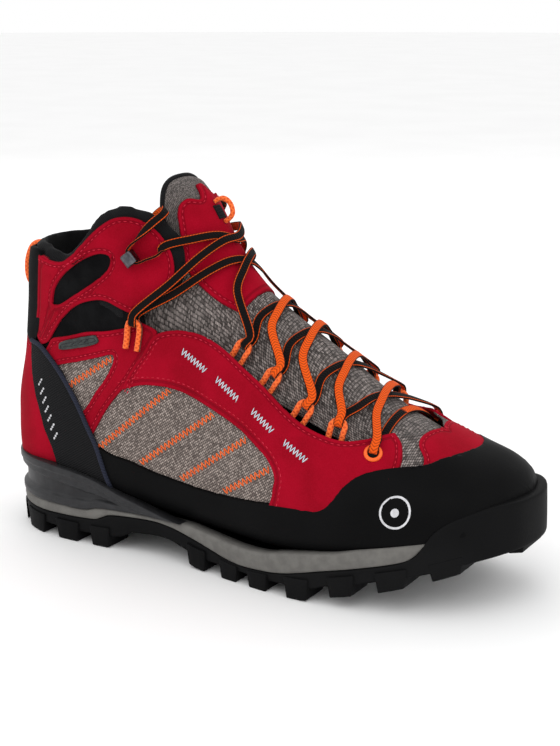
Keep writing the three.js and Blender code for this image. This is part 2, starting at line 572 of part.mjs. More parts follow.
// ---------------------------------------------------------------- cords, loops and eyelets
function cord(points, diameter, steps, sides = 6) {
  const ring = new THREE.Shape();
  const r = diameter / 2;
  for (let k = 0; k < sides; k += 1) {
    const a = (2 * Math.PI * (k + 0.5)) / sides;
    if (k === 0) ring.moveTo(r * Math.cos(a), r * Math.sin(a));
    else ring.lineTo(r * Math.cos(a), r * Math.sin(a));
  }
  ring.closePath();
  const extrudePath = new THREE.CatmullRomCurve3(points, false, 'centripetal');
  return new THREE.ExtrudeGeometry(ring, { extrudePath, steps, bevelEnabled: false });
}

const throatHeight = (x) => between(throat, x);
const LOOPS_AT = [61, 41, 21, 2];
const loopRadius = LOOP_CORD / 2;
const legDrop = SKIN_THICKNESS - SKIN_PROUD + CLEARANCE + loopRadius;
const bightDrop = 0.6;

// Frame at the throat edge, square to that edge.
function throatFrame(x, sign) {
  const f = frameAt(x, throatHeight(x), sign);
  const ahead = frameAt(x + 2, throatHeight(x + 2), sign).p;
  const behind = frameAt(x - 2, throatHeight(x - 2), sign).p;
  const along = ahead.sub(behind);
  along.addScaledVector(f.out, -along.dot(f.out)).normalize();
  const across = new THREE.Vector3().crossVectors(along, f.out).normalize();
  if (across.dot(f.across) < 0) across.negate();
  return { ...f, along, across };
}

function laceLoop(f) {
  const w = LOOP_HALF_WIDTH;
  const half = [[-6, w, -legDrop - 0.9], [1.6, w, -legDrop - 0.5], [4.4, w, -bightDrop - 1.1],
    [LOOP_REACH - 2.2, w, -bightDrop - 0.2], [LOOP_REACH - 0.2, w * 0.6, -bightDrop]];
  const pts = [...half, [LOOP_REACH, 0, -bightDrop], ...half.map(([a, b, n]) => [a, -b, n]).reverse()];
  return cord(pts.map(([a, b, n]) => inFrame(f, a, b, n)), LOOP_CORD, 12);
}

const HOOK_AT = [-58, 156];
const ANKLE_LOOP_FOOT = [-56, 109];
const ANKLE_LOOP_BIGHT = [-54.5, 123.5];
const skinTop = SKIN_PROUD + CLEARANCE;
const laceHalf = LACE_THICKNESS / 2;
const rims = {};

function ankleFrame(sign) {
  const foot = frameAt(...ANKLE_LOOP_FOOT, sign);
  const bight = frameAt(...ANKLE_LOOP_BIGHT, sign);
  const across = bight.p.clone().sub(foot.p).normalize();
  const out = bight.out.clone().addScaledVector(across, -bight.out.dot(across)).normalize();
  const along = new THREE.Vector3().crossVectors(out, across).normalize();
  if (along.dot(bight.along) < 0) along.negate();
  return { p: bight.p, across, along, out, t: bight.t, u: bight.u, length: foot.p.distanceTo(bight.p) };
}

for (const [side, , , sign] of SIDES) {
  // Cord loops sewn under the throat edge of the quarter, toe to ankle.
  const frames = LOOPS_AT.map((x) => throatFrame(x, sign));
  frames.forEach((f, i) => put(`lace_loop_${side}_${i + 1}`, laceLoop(f), CORD_ORANGE));

  // Ankle loop: sewn on the quarter, its bight stands up over the notch of the throat.
  const fa = ankleFrame(sign);
  const w = LOOP_HALF_WIDTH;
  const low = skinTop + loopRadius + 0.2;
  const half = [[-fa.length, w, low], [-fa.length + 5, w, low], [-3, w, low + 0.9],
    [-0.4, w * 0.66, low + 1.5]];
  const pts = [...half, [0, 0, low + 1.6], ...half.map(([a, b, n]) => [a, -b, n]).reverse()];
  put(`ankle_loop_${side}`, cord(pts.map(([a, b, n]) => inFrame(fa, a, b, n)), LOOP_CORD, 12), CORD_ORANGE);

  // Eyelet ring on the quarter.
  const fe = frameAt(...EYELET_AT, sign);
  const r0 = EYELET_BORE / 2;
  const r1 = r0 + EYELET_RIM;
  const rim = [[r0, 0], [r1, 0], [r1, 0.6], [r1 - 0.5, 1.1], [r0 + 0.5, 1.1], [r0, 0.6], [r0, 0]];
  const lathe = new THREE.LatheGeometry(rim.map(([r, h]) => new THREE.Vector2(r, h)), 12);
  lathe.applyQuaternion(new THREE.Quaternion().setFromUnitVectors(new THREE.Vector3(0, 1, 0), fe.out));
  const seat = inFrame(fe, 0, 0, skinTop + 0.15);
  lathe.translate(seat.x, seat.y, seat.z);
  putSolid(`eyelet_${side}`, toSolid(lathe), CORD_ORANGE);

  // Pressed hook: a plate on the cuff that turns up at its front and back over the lace.
  const fh = frameAt(...HOOK_AT, sign);
  const back = -HOOK_REACH * 0.62;
  const front = HOOK_REACH * 0.38;
  const top = HOOK_METAL + HOOK_THROAT;
  const profile = [[back, 0], [front - 0.6, 0], [front, 0.7], [front, top + 0.6], [front - 0.9, top + HOOK_METAL],
    [back + 3.6, top + HOOK_METAL], [back + 2.4, top + 0.6], [back + 2.6, top - 0.4], [back + 3.6, top],
    [front - HOOK_METAL, top], [front - HOOK_METAL, HOOK_METAL], [back, HOOK_METAL]];
  const hook = new THREE.ExtrudeGeometry(shape2(profile), { depth: HOOK_WIDTH, bevelEnabled: false });
  hook.translate(0, 0, -HOOK_WIDTH / 2);
  const third = new THREE.Vector3().crossVectors(fh.across, fh.out);
  hook.applyMatrix4(new THREE.Matrix4().makeBasis(fh.across, fh.out, third));
  const base = inFrame(fh, 0, 0, skinTop + 0.35);
  hook.translate(base.x, base.y, base.z);
  putSolid(`hook_${side}`, toSolid(hook), GUNMETAL);
  const dome = [[0, 0], [1.9, 0], [1.9, 0.4], [1.2, 1], [0, 1.2]];
  const rivet = new THREE.LatheGeometry(dome.map(([r, h]) => new THREE.Vector2(r, h)), 10);
  rivet.applyQuaternion(new THREE.Quaternion().setFromUnitVectors(new THREE.Vector3(0, 1, 0), fh.out));
  const head = inFrame(fh, back + 2.3, 0, skinTop + 0.35 + HOOK_METAL + CLEARANCE);
  rivet.translate(head.x, head.y, head.z);
  putSolid(`hook_rivet_${side}`, toSolid(rivet), GUNMETAL);

  rims[side] = { frames, fa, fe, fh, low };
}

// ---------------------------------------------------------------- lace
// One flat lace.  Each half leaves the bar between the eyelets, goes up through its eyelet and
// crosses the tongue from side to side: loops, ankle loop, hook, and then over the front of
// the collar, where its end is tucked in.  A stop is a place and the direction of its width.
const OVER = 0.15 + laceHalf;
const UNDER = -0.6 - laceHalf;
const onOverlay = 1.1;
const barDrop = -TONGUE_DROP + CLEARANCE + laceHalf + 0.8;

// From one side of the throat to the other.  rise lifts the strand at the quarter points of its
// way, where it leaves the ridge of the tongue for what lies on each side.
function strand(from, to, tMid, over, rise) {
  const stops = [];
  const mid = (over ? OVER : UNDER) + (tMid > OVERLAY_ROOT ? onOverlay : 0) - 0.9;
  const u0 = from.u < 0.5 ? from.u : from.u - 1;
  const u1 = to.u < 0.5 ? to.u : to.u - 1;
  [-0.75, -0.5, -0.25, 0, 0.25, 0.5, 0.75].forEach((k, i) => {
    if (rise[i] === null) return;
    const t = tMid + ((k < 0 ? from.t : to.t) - tMid) * Math.abs(k);
    const u = (k < 0 ? u0 : u1) * Math.abs(k);
    const f = skinFrame(t, wrap(Math.abs(u) < 1e-6 ? 0.0005 : u), mid + rise[i]);
    stops.push([f.p, f.along]);
  });
  return stops;
}
const FROM_LOOP = [null, 1.8, 0.4, 0];
const TO_LOOP = [0.3, 0.6, null];
const FROM_ANKLE = [2.7 + LACE_THICKNESS, 1.3 + LACE_THICKNESS, 0.8, 0];
const TO_ANKLE = [0.4, 1.4, 2.4];
const TO_HOOK = [0.8, 2.4, 4];

// Turn round the bight of a loop: in underneath it and out over it.
function loopTurn(f, bight, n0) {
  const reach = loopRadius + laceHalf + 0.5;
  const turn = [[bight + 3.4, n0 - reach - 0.15], [bight + 0.3, n0 - reach], [bight - 1.7, n0 - reach * 0.75],
    [bight - reach - 0.05, n0], [bight - 1.7, n0 + reach * 0.75], [bight + 0.3, n0 + reach],
    [bight + 3.4, n0 + reach - 0.3]];
  return turn.map(([a, n]) => [inFrame(f, a, 0, n), f.along]);
}

function halfLace(firstSide, over) {
  const other = (s) => (s === 'lateral' ? 'medial' : 'lateral');
  let side = firstSide;
  const fe = rims[side].fe;
  const below = -(SKIN_THICKNESS - SKIN_PROUD) - CLEARANCE - laceHalf - 0.7;
  const ring = skinTop + 0.15 + 1.1 + CLEARANCE + laceHalf;
  const barPlace = (k) => {
    const u = fe.u < 0.5 ? fe.u : fe.u - 1;
    const f = skinFrame(fe.t, wrap(u * k), barDrop);
    return [f.p, f.along];
  };
  const stops = [0.25, 0.5, 0.7].map(barPlace);
  stops.push(...[[3.4, below - 0.1], [0.9, below + 0.3], [0, -1.2], [0, 1.2], [0.6, ring - 0.3],
    [2.6, ring + 0.1], [7, ring - 0.2]].map(([a, n]) => [inFrame(fe, a, 0, n), fe.along]));
  let from = fe;
  for (let i = 0; i < LOOPS_AT.length; i += 1) {
    side = other(side);
    const f = rims[side].frames[i];
    stops.push(...strand(from, f, (from.t + f.t) / 2, (i % 2 === 0) === over, [...FROM_LOOP, ...TO_LOOP]));
    stops.push(...loopTurn(f, LOOP_REACH, -bightDrop));
    from = f;
  }
  side = other(side);
  const fa = rims[side].fa;
  stops.push(...strand(from, fa, 8.15, over, [...FROM_LOOP, ...TO_ANKLE]));
  stops.push(...loopTurn(fa, 0, rims[side].low + 1.75));
  from = fa;
  side = other(side);
  const fh = rims[side].fh;
  stops.push(...strand(from, fh, 9.35, !over, [...FROM_ANKLE, ...TO_HOOK]));
  // Round the back of the hook's neck, the width of the lace standing along the neck.
  const neck = HOOK_REACH * 0.38 - HOOK_METAL;
  const h = skinTop + 0.35 + HOOK_METAL + HOOK_THROAT / 2;
  const w = HOOK_WIDTH / 2 + laceHalf + 0.6;
  const turn = [[neck + 12, w + 3], [neck + 5, w + 1.2], [neck + 1.2, w + 0.3], [neck - 0.8, w - 0.9],
    [neck - laceHalf - 0.6, 0], [neck - 0.8, 0.9 - w], [neck + 1.2, -w - 0.3], [neck + 4.5, -w - 0.8]];
  turn.forEach(([a, b], i) => {
    const width = i === 0 ? fh.along.clone().multiplyScalar(-1).add(fh.out).normalize() : fh.out;
    stops.push([inFrame(fh, a, b, h), width]);
  });
  // Over the front of the collar and down inside it.
  const sign = side === 'lateral' ? 1 : -1;
  const outside = skinTop + laceHalf;
  const inside = liningBack - laceHalf;
  const tuck = [[-49, 171.5, outside + 2.35], [-46.55 + laceHalf, 176.6, outside - 0.35],
    [-47.05 + laceHalf, 177.8, inside + 1.25], [-48.8, 175, inside - 2.15], [-51, 167, inside - 2.55],
    [-52.5, 159, inside - 2.55]];
  tuck.forEach(([x, z, d], i) => {
    const f = frameAt(x, z, sign);
    const p = skin(f.t, f.u, d);
    const edge = new THREE.Vector3(0.82, 0, -0.57);
    const width = i === 0 ? fh.out.clone().add(edge).normalize() : edge;
    stops.push([p, width]);
  });
  return stops;
}

function ribbon(stops, width, thickness) {
  const rings = stops.map(([p, side], i) => {
    const a = stops[Math.max(i - 1, 0)][0];
    const b = stops[Math.min(i + 1, stops.length - 1)][0];
    const run = b.clone().sub(a).normalize();
    const w = side.clone().addScaledVector(run, -side.dot(run)).normalize();
    const n = new THREE.Vector3().crossVectors(run, w);
    return [[1, 1], [-1, 1], [-1, -1], [1, -1]].map(([i0, j0]) =>
      p.clone().addScaledVector(w, (i0 * width) / 2).addScaledVector(n, (j0 * thickness) / 2));
  });
  return loft(rings);
}

// Keeps the width direction from turning over between one stop and the next.
function untwist(stops) {
  const out = [stops[0]];
  for (let i = 1; i < stops.length; i += 1) {
    const [p, w] = stops[i];
    out.push([p, w.dot(out[i - 1][1]) < 0 ? w.clone().negate() : w]);
  }
  return out;
}

const bar = skinFrame(rims.lateral.fe.t, 0.0005, barDrop);
const lace = untwist([...halfLace('lateral', true).reverse(), [bar.p, bar.along], ...halfLace('medial', false)]);
putSolid('lace', toSolid(ribbon(lace, LACE_WIDTH, LACE_THICKNESS)), LACE_BLACK);

// ---------------------------------------------------------------- label and pull loops
const labelIn = lastSolid(skinTop);
const labelOut = lastSolid(skinTop + LABEL_THICKNESS);
const labelSide = sidePrism(LABEL, -90, 0);
putSolid('side_label', labelOut.subtract(labelIn).intersect(labelSide), LABEL_GREY);

// Loop standing out from a lower to an upper seat, in the middle plane of the boot.
function pullLoop(low, high, reach) {
  const axis = high.p.clone().sub(low.p).normalize();
  const out = low.out.clone().add(high.out);
  out.addScaledVector(axis, -out.dot(axis)).normalize();
  const span = high.p.distanceTo(low.p);
  const at = (s, o) => low.p.clone().addScaledVector(axis, s * span).addScaledVector(out, o);
  const pts = [at(0, 0), at(0, reach * 0.35), at(0.12, reach * 0.8), at(0.5, reach), at(0.88, reach * 0.8),
    at(1, reach * 0.35), at(1, 0)];
  return cord(pts, PULL_CORD, 10, 8);
}

const backSeat = (t) => skinFrame(t, 0.5, SKIN_PROUD + PULL_SEAT);
put('heel_pull_loop', pullLoop(backSeat(13.55), backSeat(14.5), HEEL_PULL_REACH), CORD_ORANGE);
const tongueSeat = (t) => skinFrame(t, 0.0005, overlayOut + PULL_SEAT);
put('tongue_pull_loop', pullLoop(tongueSeat(10.6), tongueSeat(12.1), TONGUE_PULL_REACH), CORD_ORANGE);

// ---------------------------------------------------------------- origin on the ground, mid boot
const box3 = new THREE.Box3().setFromObject(boot);
const middle = box3.getCenter(new THREE.Vector3());
boot.position.set(-middle.x, -middle.y, -box3.min.z);

export default boot;
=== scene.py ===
import math

import bmesh
import bpy
import numpy as np
from mathutils import Matrix, Vector
from mathutils.kdtree import KDTree


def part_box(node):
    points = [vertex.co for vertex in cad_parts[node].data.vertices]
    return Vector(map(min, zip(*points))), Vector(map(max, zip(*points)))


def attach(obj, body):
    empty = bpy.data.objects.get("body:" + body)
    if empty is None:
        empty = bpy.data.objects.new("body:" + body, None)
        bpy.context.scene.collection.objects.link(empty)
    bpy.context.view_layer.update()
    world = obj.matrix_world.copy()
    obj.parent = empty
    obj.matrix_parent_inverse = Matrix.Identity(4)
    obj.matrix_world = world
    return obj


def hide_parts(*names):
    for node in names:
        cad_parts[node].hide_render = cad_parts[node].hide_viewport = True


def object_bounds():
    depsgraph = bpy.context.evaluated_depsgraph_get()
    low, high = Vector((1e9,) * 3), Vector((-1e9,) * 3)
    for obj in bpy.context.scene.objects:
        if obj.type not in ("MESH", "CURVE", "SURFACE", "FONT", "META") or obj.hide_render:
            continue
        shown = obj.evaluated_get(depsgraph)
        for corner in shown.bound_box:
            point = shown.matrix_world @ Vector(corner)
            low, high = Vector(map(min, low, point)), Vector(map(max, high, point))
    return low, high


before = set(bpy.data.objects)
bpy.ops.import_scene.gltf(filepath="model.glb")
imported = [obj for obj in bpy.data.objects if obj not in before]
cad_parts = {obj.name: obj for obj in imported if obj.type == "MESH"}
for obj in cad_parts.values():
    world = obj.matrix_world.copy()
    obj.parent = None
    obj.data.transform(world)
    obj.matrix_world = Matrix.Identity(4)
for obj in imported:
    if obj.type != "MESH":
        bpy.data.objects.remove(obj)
cad_low, cad_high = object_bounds()
scene = bpy.context.scene

# ------------------------------------------------------------------ size and place of the pattern
# The pattern is drawn in millimetres on a sole 300 mm long. sole_low and sole_high fix its place.
sole_low, sole_high = (Vector(c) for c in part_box("outsole"))
PATTERN_LENGTH = 300.0
SOLE_OFF_CENTRE = 0.8            # the sole outline's middle lies this far outward of the last's
MM = (sole_high.x - sole_low.x) / PATTERN_LENGTH
ORIGIN = np.array([(sole_low.x + sole_high.x) / 2,
                   (sole_low.y + sole_high.y) / 2 + SOLE_OFF_CENTRE * MM, sole_low.z])

LATERAL, MEDIAL = 1, -1
SIDES = (("lateral", LATERAL), ("medial", MEDIAL))
BOOT, TONGUE, TONGUE_LOOP, HEEL_LOOP = "boot", "tongue", "tongue_loop", "heel_loop"


def metres(points):
    """Places in metres for places in the pattern's millimetres."""
    return np.asarray(points, float) * MM + ORIGIN


def link(name, data):
    """A new object in the scene for this data."""
    made = bpy.data.objects.new(name, data)
    scene.collection.objects.link(made)
    return made


def mesh_of(name, bm):
    """The finished bmesh as a mesh."""
    mesh = bpy.data.meshes.new(name)
    bm.to_mesh(mesh)
    bm.free()
    return mesh


# ------------------------------------------------------------------ camera, light and floor
CAMERA_TARGET = (9.783, -1.656, 97.136)
CAMERA_AZIMUTH, CAMERA_ELEVATION = math.radians(30.0), math.radians(13.973)
CAMERA_DISTANCE = 800.0          # mm
LENS, SENSOR = 75.64, 36.0
LIGHT_TARGET = (0, 0, 0.08)      # metres, as the floor's sizes and the lamps' places are
FLOOR_RADIUS, FLOOR_GAP = 9.0, 0.0002


def make_camera():
    a, e = CAMERA_AZIMUTH, CAMERA_ELEVATION
    back = Vector((math.sin(a) * math.cos(e), -math.cos(a) * math.cos(e), math.sin(e)))
    data = bpy.data.cameras.new("camera")
    data.lens = LENS
    data.sensor_width = SENSOR
    data.clip_start, data.clip_end = 0.01, 20.0
    camera = link("camera", data)
    camera.location = Vector(metres(CAMERA_TARGET)) + back * CAMERA_DISTANCE * MM
    camera.rotation_mode = "QUATERNION"
    camera.rotation_quaternion = (-back).to_track_quat("-Z", "Y")
    scene.camera = camera


def area_light(name, place, size, power):
    data = bpy.data.lights.new(name, "AREA")
    data.shape = "RECTANGLE"
    data.size, data.size_y = size
    data.energy = power
    lamp = link(name, data)
    lamp.location = place
    lamp.rotation_mode = "QUATERNION"
    lamp.rotation_quaternion = (Vector(LIGHT_TARGET) - Vector(place)).to_track_quat("-Z", "Y")


def light_studio():
    area_light("key_softbox", (0.25, -1.25, 1.35), (1.2, 1.2), 6)
    area_light("toe_softbox", (1.35, -0.35, 0.75), (1.0, 1.0), 3)
    area_light("back_softbox", (-0.9, 0.9, 1.1), (1.2, 1.0), 4)
    area_light("heel_softbox", (-1.2, -0.7, 0.6), (0.8, 0.8), 1.5)
    world = bpy.data.worlds.new("studio")
    scene.world = world
    world.use_nodes = True
    background = world.node_tree.nodes["Background"]
    background.inputs["Color"].default_value = (1, 1, 1, 1)
    background.inputs["Strength"].default_value = 1.0
    scene.view_settings.view_transform = "Standard"


def lay_floor(finish):
    bm = bmesh.new()
    bmesh.ops.create_circle(bm, cap_ends=True, cap_tris=False, segments=96, radius=FLOOR_RADIUS)
    mesh = mesh_of("floor", bm)
    mesh.materials.append(finish)
    floor = link("floor", mesh)
    floor.location = (0, 0, cad_low[2] - FLOOR_GAP)


make_camera()
light_studio()

# ------------------------------------------------------------------ the last
# A row for each section, toe to collar: its bottom (xb, zb) and top (xt, zt) in the side view, its
# middle yc, its half widths wl and wm, the share vm of its height at which it is widest, and how
# square it is below and above, nb and nt.
#  xb    zb    xt    zt  yc   wl    wm    vm   nb   nt
LAST = np.array([
    [143.5, 41, 143.5, 51, 7, 0, 0, 0.45, 2.4, 2.1],
    [141.5, 37, 139.5, 61.5, 6, 20, 19, 0.42, 3.0, 2.2],
    [134, 34, 129, 68.5, 4, 34, 32, 0.38, 3.6, 2.1],
    [117, 29.5, 111, 75, 2, 43.5, 42, 0.34, 4.2, 2.0],
    [92, 25, 85, 86.5, 0, 49, 48, 0.31, 4.6, 1.95],
    [64, 21, 58, 103, 0, 51, 48, 0.30, 4.8, 1.9],
    [32, 18.5, 30, 124, 0, 49.5, 44, 0.30, 4.8, 1.9],
    [-4, 19, 5, 140, 0, 45, 39, 0.33, 4.6, 1.9],
    [-44, 21, -8, 153, 0, 41, 37, 0.36, 4.4, 1.9],
    [-92, 22, -14, 162, 0, 40, 37.5, 0.38, 4.2, 2.0],
    [-138, 25, -19, 170, 0, 39, 37, 0.42, 3.4, 2.1],
    [-150, 60, -23, 177, 0, 37, 36, 0.46, 2.5, 2.2],
    [-146, 92, -27, 183, 0, 36.5, 36, 0.50, 2.3, 2.2],
    [-142, 120, -31, 188, 0, 38, 37.5, 0.52, 2.3, 2.2],
    [-138, 145, -37, 193, 0, 40, 39, 0.52, 2.3, 2.2],
    [-131, 163, -45, 199, 0, 41, 40, 0.52, 2.3, 2.2],
    [-120, 184, -56, 208, 0, 41, 40, 0.52, 2.3, 2.2],
])
# A row past each end lets the curve run through the first and the last section.
before_toe = LAST[1].copy()
before_toe[[5, 6]] *= -1
before_toe[[1, 3]] = 2 * LAST[0][[1, 3]] - LAST[1][[1, 3]]
ROWS = np.vstack([before_toe, LAST, 2 * LAST[-1] - LAST[-2]])


def spline(a, b, c, d, f):
    """Smooth curve from b to c at the share f of the way, with a before them and d after them."""
    return 0.5 * (2 * b + (c - a) * f + (2 * a - 5 * b + 4 * c - d) * f ** 2
                  + (3 * b - a - 3 * c + d) * f ** 3)


def section(t):
    t = np.clip(np.asarray(t, float), 0, len(LAST) - 1)
    i = np.minimum(np.floor(t).astype(int), len(LAST) - 2)
    return spline(ROWS[i], ROWS[i + 1], ROWS[i + 2], ROWS[i + 3], (t - i)[..., None])


def surface(t, a, d):
    """Points d mm outside the last. t runs from toe to collar. a turns round it: 0 is the ridge,
    0.25 the lateral side, 0.5 the sole or the heel's back, and -0.25 the medial side."""
    t, a, d = np.broadcast_arrays(np.asarray(t, float), np.asarray(a, float), np.asarray(d, float))
    xb, zb, xt, zt, yc, wl, wm, vm, nb, nt = np.moveaxis(section(t), -1, 0)
    c, s = np.cos(2 * np.pi * a), np.sin(2 * np.pi * a)
    n = np.where(c >= 0, nt, nb)
    rho = (np.abs(s) ** n + np.abs(c) ** n) ** (-1 / n)
    across, along = rho * np.abs(s), rho * np.abs(c)
    h = np.hypot(xt - xb, zt - zb)
    grow = d * np.minimum(1, np.maximum(wl, 0) / 30)
    v = np.where(c >= 0, vm + (1 - vm) * along, vm - vm * along)
    v = v * (h + 2 * d) - d
    x = xb + (xt - xb) / h * v + d * np.maximum(0, 1 - t / 1.5)
    z = zb + (zt - zb) / h * v
    y = np.where(s >= 0, yc - (wl + grow) * across, yc + (wm + grow) * across)
    return np.stack([x, y, z], -1)


def unit(v):
    return v / np.maximum(np.linalg.norm(v, axis=-1, keepdims=True), 1e-12)


def turns(count):
    """So many angles, evenly round a circle."""
    return 2 * np.pi * np.arange(count) / count


def signed_power(value, power):
    return np.sign(value) * np.abs(value) ** power


def frames(t, a, d=0.0):
    """Place, direction to the ridge, direction to the toe and outward direction, each as an array."""
    t, a = np.broadcast_arrays(np.asarray(t, float), np.asarray(a, float))
    side = np.where(np.sin(2 * np.pi * a) >= 0, 1.0, -1.0)
    up = surface(t, a - side * 0.002, d) - surface(t, a + side * 0.002, d)
    fore = surface(t - 0.03, a, d) - surface(t + 0.03, a, d)
    out = unit(np.cross(up, fore))
    away = surface(t, a, np.asarray(d) + 1.0) - surface(t, a, d)
    out *= np.where((out * away).sum(-1, keepdims=True) < 0, -1.0, 1.0)
    up = unit(up)
    along = unit(np.cross(out, up))
    along *= np.where((along * fore).sum(-1, keepdims=True) < 0, -1.0, 1.0)
    return surface(t, a, d), up, along, out


def turn_from_share(t, u):
    """Turn a of the place that the CAD gives as share u of the section's own parameter."""
    t, u = np.broadcast_arrays(np.asarray(t, float), np.asarray(u, float))
    rows = section(t)
    c, s = np.cos(2 * np.pi * u), np.sin(2 * np.pi * u)
    n = np.where(c >= 0, rows[..., 9], rows[..., 8])
    w, v = np.abs(s) ** (2 / n), np.abs(c) ** (2 / n)
    return np.arctan2(w * np.sign(s), v * np.sign(c)) / (2 * np.pi)


def tree_of(places):
    """Search tree in which each place has its own number."""
    tree = KDTree(len(places))
    for number, place in enumerate(places):
        tree.insert(place, number)
    tree.balance()
    return tree


side_t, side_a = np.meshgrid(np.arange(0.3, 15.99, 0.1), np.arange(0.006, 0.4999, 0.006), indexing="ij")
side_t, side_a = side_t.ravel(), side_a.ravel()
side_tree = tree_of([(x, z, 0) for x, _, z in surface(side_t, side_a, 0.0)])


def from_side(points, side=LATERAL):
    """(t, a) of the places that have these (x, z) in the side view, found by Newton's steps."""
    xz = np.asarray(points, float).reshape(-1, 2)
    start = [side_tree.find((x, z, 0))[1] for x, z in xz]
    t, a = side_t[start], side_a[start]
    miss = lambda t, a: surface(t, a, 0.0)[:, [0, 2]] - xz
    for _ in range(14):
        p = miss(t, a)
        pt = (miss(t + 1e-4, a) - p) / 1e-4
        pa = (miss(t, a + 1e-5) - p) / 1e-5
        det = pt[:, 0] * pa[:, 1] - pa[:, 0] * pt[:, 1]
        det = np.where(np.abs(det) < 1e-6, 1e-6, det)
        dt = (p[:, 0] * pa[:, 1] - pa[:, 0] * p[:, 1]) / det
        da = (pt[:, 0] * p[:, 1] - p[:, 0] * pt[:, 1]) / det
        t = np.clip(t - np.clip(dt, -0.5, 0.5), 0.05, 15.98)
        a = np.clip(a - np.clip(da, -0.03, 0.03), 0.001, 0.499)
    return np.stack([t, a if side == LATERAL else -a], -1)


# ------------------------------------------------------------------ finishes
def node_sum(kind):
    """A method that makes the node for this kind of sum."""
    return lambda tap, *others: tap.math(kind, *others)


class Tap:
    """One number of a node tree, so that a pattern can be written as a sum."""

    __add__ = node_sum("ADD")
    __sub__ = node_sum("SUBTRACT")
    __mul__ = node_sum("MULTIPLY")
    __truediv__ = node_sum("DIVIDE")
    sin = node_sum("SINE")
    abs = node_sum("ABSOLUTE")
    floor = node_sum("FLOOR")
    fract = node_sum("FRACT")
    most = node_sum("MAXIMUM")
    wrap = node_sum("FLOORED_MODULO")

    def __init__(self, tree, socket):
        self.tree, self.socket = tree, socket

    def math(self, kind, other=None):
        node = self.tree.nodes.new("ShaderNodeMath")
        node.operation = kind
        self.tree.links.new(self.socket, node.inputs[0])
        if isinstance(other, Tap):
            self.tree.links.new(other.socket, node.inputs[1])
        elif other is not None:
            node.inputs[1].default_value = other
        return Tap(self.tree, node.outputs[0])

    def ramp(self, low, high, start=0.0, end=1.0):
        """Smooth step from start to end as the number goes from low to high."""
        node = self.tree.nodes.new("ShaderNodeMapRange")
        node.interpolation_type = "SMOOTHSTEP"
        self.tree.links.new(self.socket, node.inputs["Value"])
        for key, value in (("From Min", low), ("From Max", high), ("To Min", start), ("To Max", end)):
            node.inputs[key].default_value = value
        return Tap(self.tree, node.outputs[0])


class Finish:
    """A principled material with the few helpers that the finishes below share."""

    def __init__(self, name, colour, roughness, metallic=0.0, specular=0.5, **extra):
        self.material = bpy.data.materials.new(name)
        self.material.use_nodes = True
        self.tree = self.material.node_tree
        self.shader = self.tree.nodes["Principled BSDF"]
        self.set("Base Color", (*colour, 1))
        self.set("Roughness", roughness)
        self.set("Metallic", metallic)
        self.set("Specular IOR Level", specular)
        for key, value in extra.items():
            self.set(key.replace("_", " ").title(), value)
        self.material.diffuse_color = (*colour, 1)

    def set(self, key, value):
        self.shader.inputs[key].default_value = value

    def node(self, kind, **values):
        made = self.tree.nodes.new(kind)
        for key, value in values.items():
            setattr(made, key, value)
        return made

    def place(self):
        return self.node("ShaderNodeTexCoord").outputs["Object"]

    def uv(self):
        """The piece's own map, in millimetres."""
        split = self.node("ShaderNodeSeparateXYZ")
        self.tree.links.new(self.node("ShaderNodeUVMap", uv_map="cut").outputs[0], split.inputs[0])
        return Tap(self.tree, split.outputs[0]), Tap(self.tree, split.outputs[1])

    def edge(self):
        """Distance from the cut edge of the panel, in millimetres."""
        return Tap(self.tree, self.node("ShaderNodeAttribute", attribute_name="edge").outputs["Fac"])

    def noise(self, grain, detail=2.0, rough=0.55):
        """Noise whose grain is about so many millimetres."""
        made = self.node("ShaderNodeTexNoise")
        self.tree.links.new(self.place(), made.inputs["Vector"])
        made.inputs["Scale"].default_value = 1000.0 / grain
        made.inputs["Detail"].default_value = detail
        made.inputs["Roughness"].default_value = rough
        return Tap(self.tree, made.outputs[0])

    def speckle(self, x, y):
        """A random number for each whole step of x and y."""
        join = self.node("ShaderNodeCombineXYZ")
        self.tree.links.new(x.socket, join.inputs[0])
        self.tree.links.new(y.socket, join.inputs[1])
        made = self.node("ShaderNodeTexWhiteNoise", noise_dimensions="2D")
        self.tree.links.new(join.outputs[0], made.inputs["Vector"])
        return Tap(self.tree, made.outputs["Value"])

    def mix(self, amount, first, second):
        """A colour between two, each a colour or a socket."""
        made = self.node("ShaderNodeMix", data_type="RGBA")
        self.tree.links.new(amount.socket, made.inputs[0])
        for value, slot in ((first, 6), (second, 7)):
            if isinstance(value, tuple):
                made.inputs[slot].default_value = (*value, 1)
            else:
                self.tree.links.new(value, made.inputs[slot])
        return made.outputs[2]

    def colour(self, socket):
        self.tree.links.new(socket, self.shader.inputs["Base Color"])

    def roughness(self, tap):
        self.tree.links.new(tap.socket, self.shader.inputs["Roughness"])

    def bump(self, height, depth, strength=1.0):
        """height from 0 to 1 stands depth millimetres high."""
        made = self.node("ShaderNodeBump")
        made.inputs["Strength"].default_value = strength
        made.inputs["Distance"].default_value = depth / 1000.0
        self.tree.links.new(height.socket, made.inputs["Height"])
        self.tree.links.new(made.outputs[0], self.shader.inputs["Normal"])


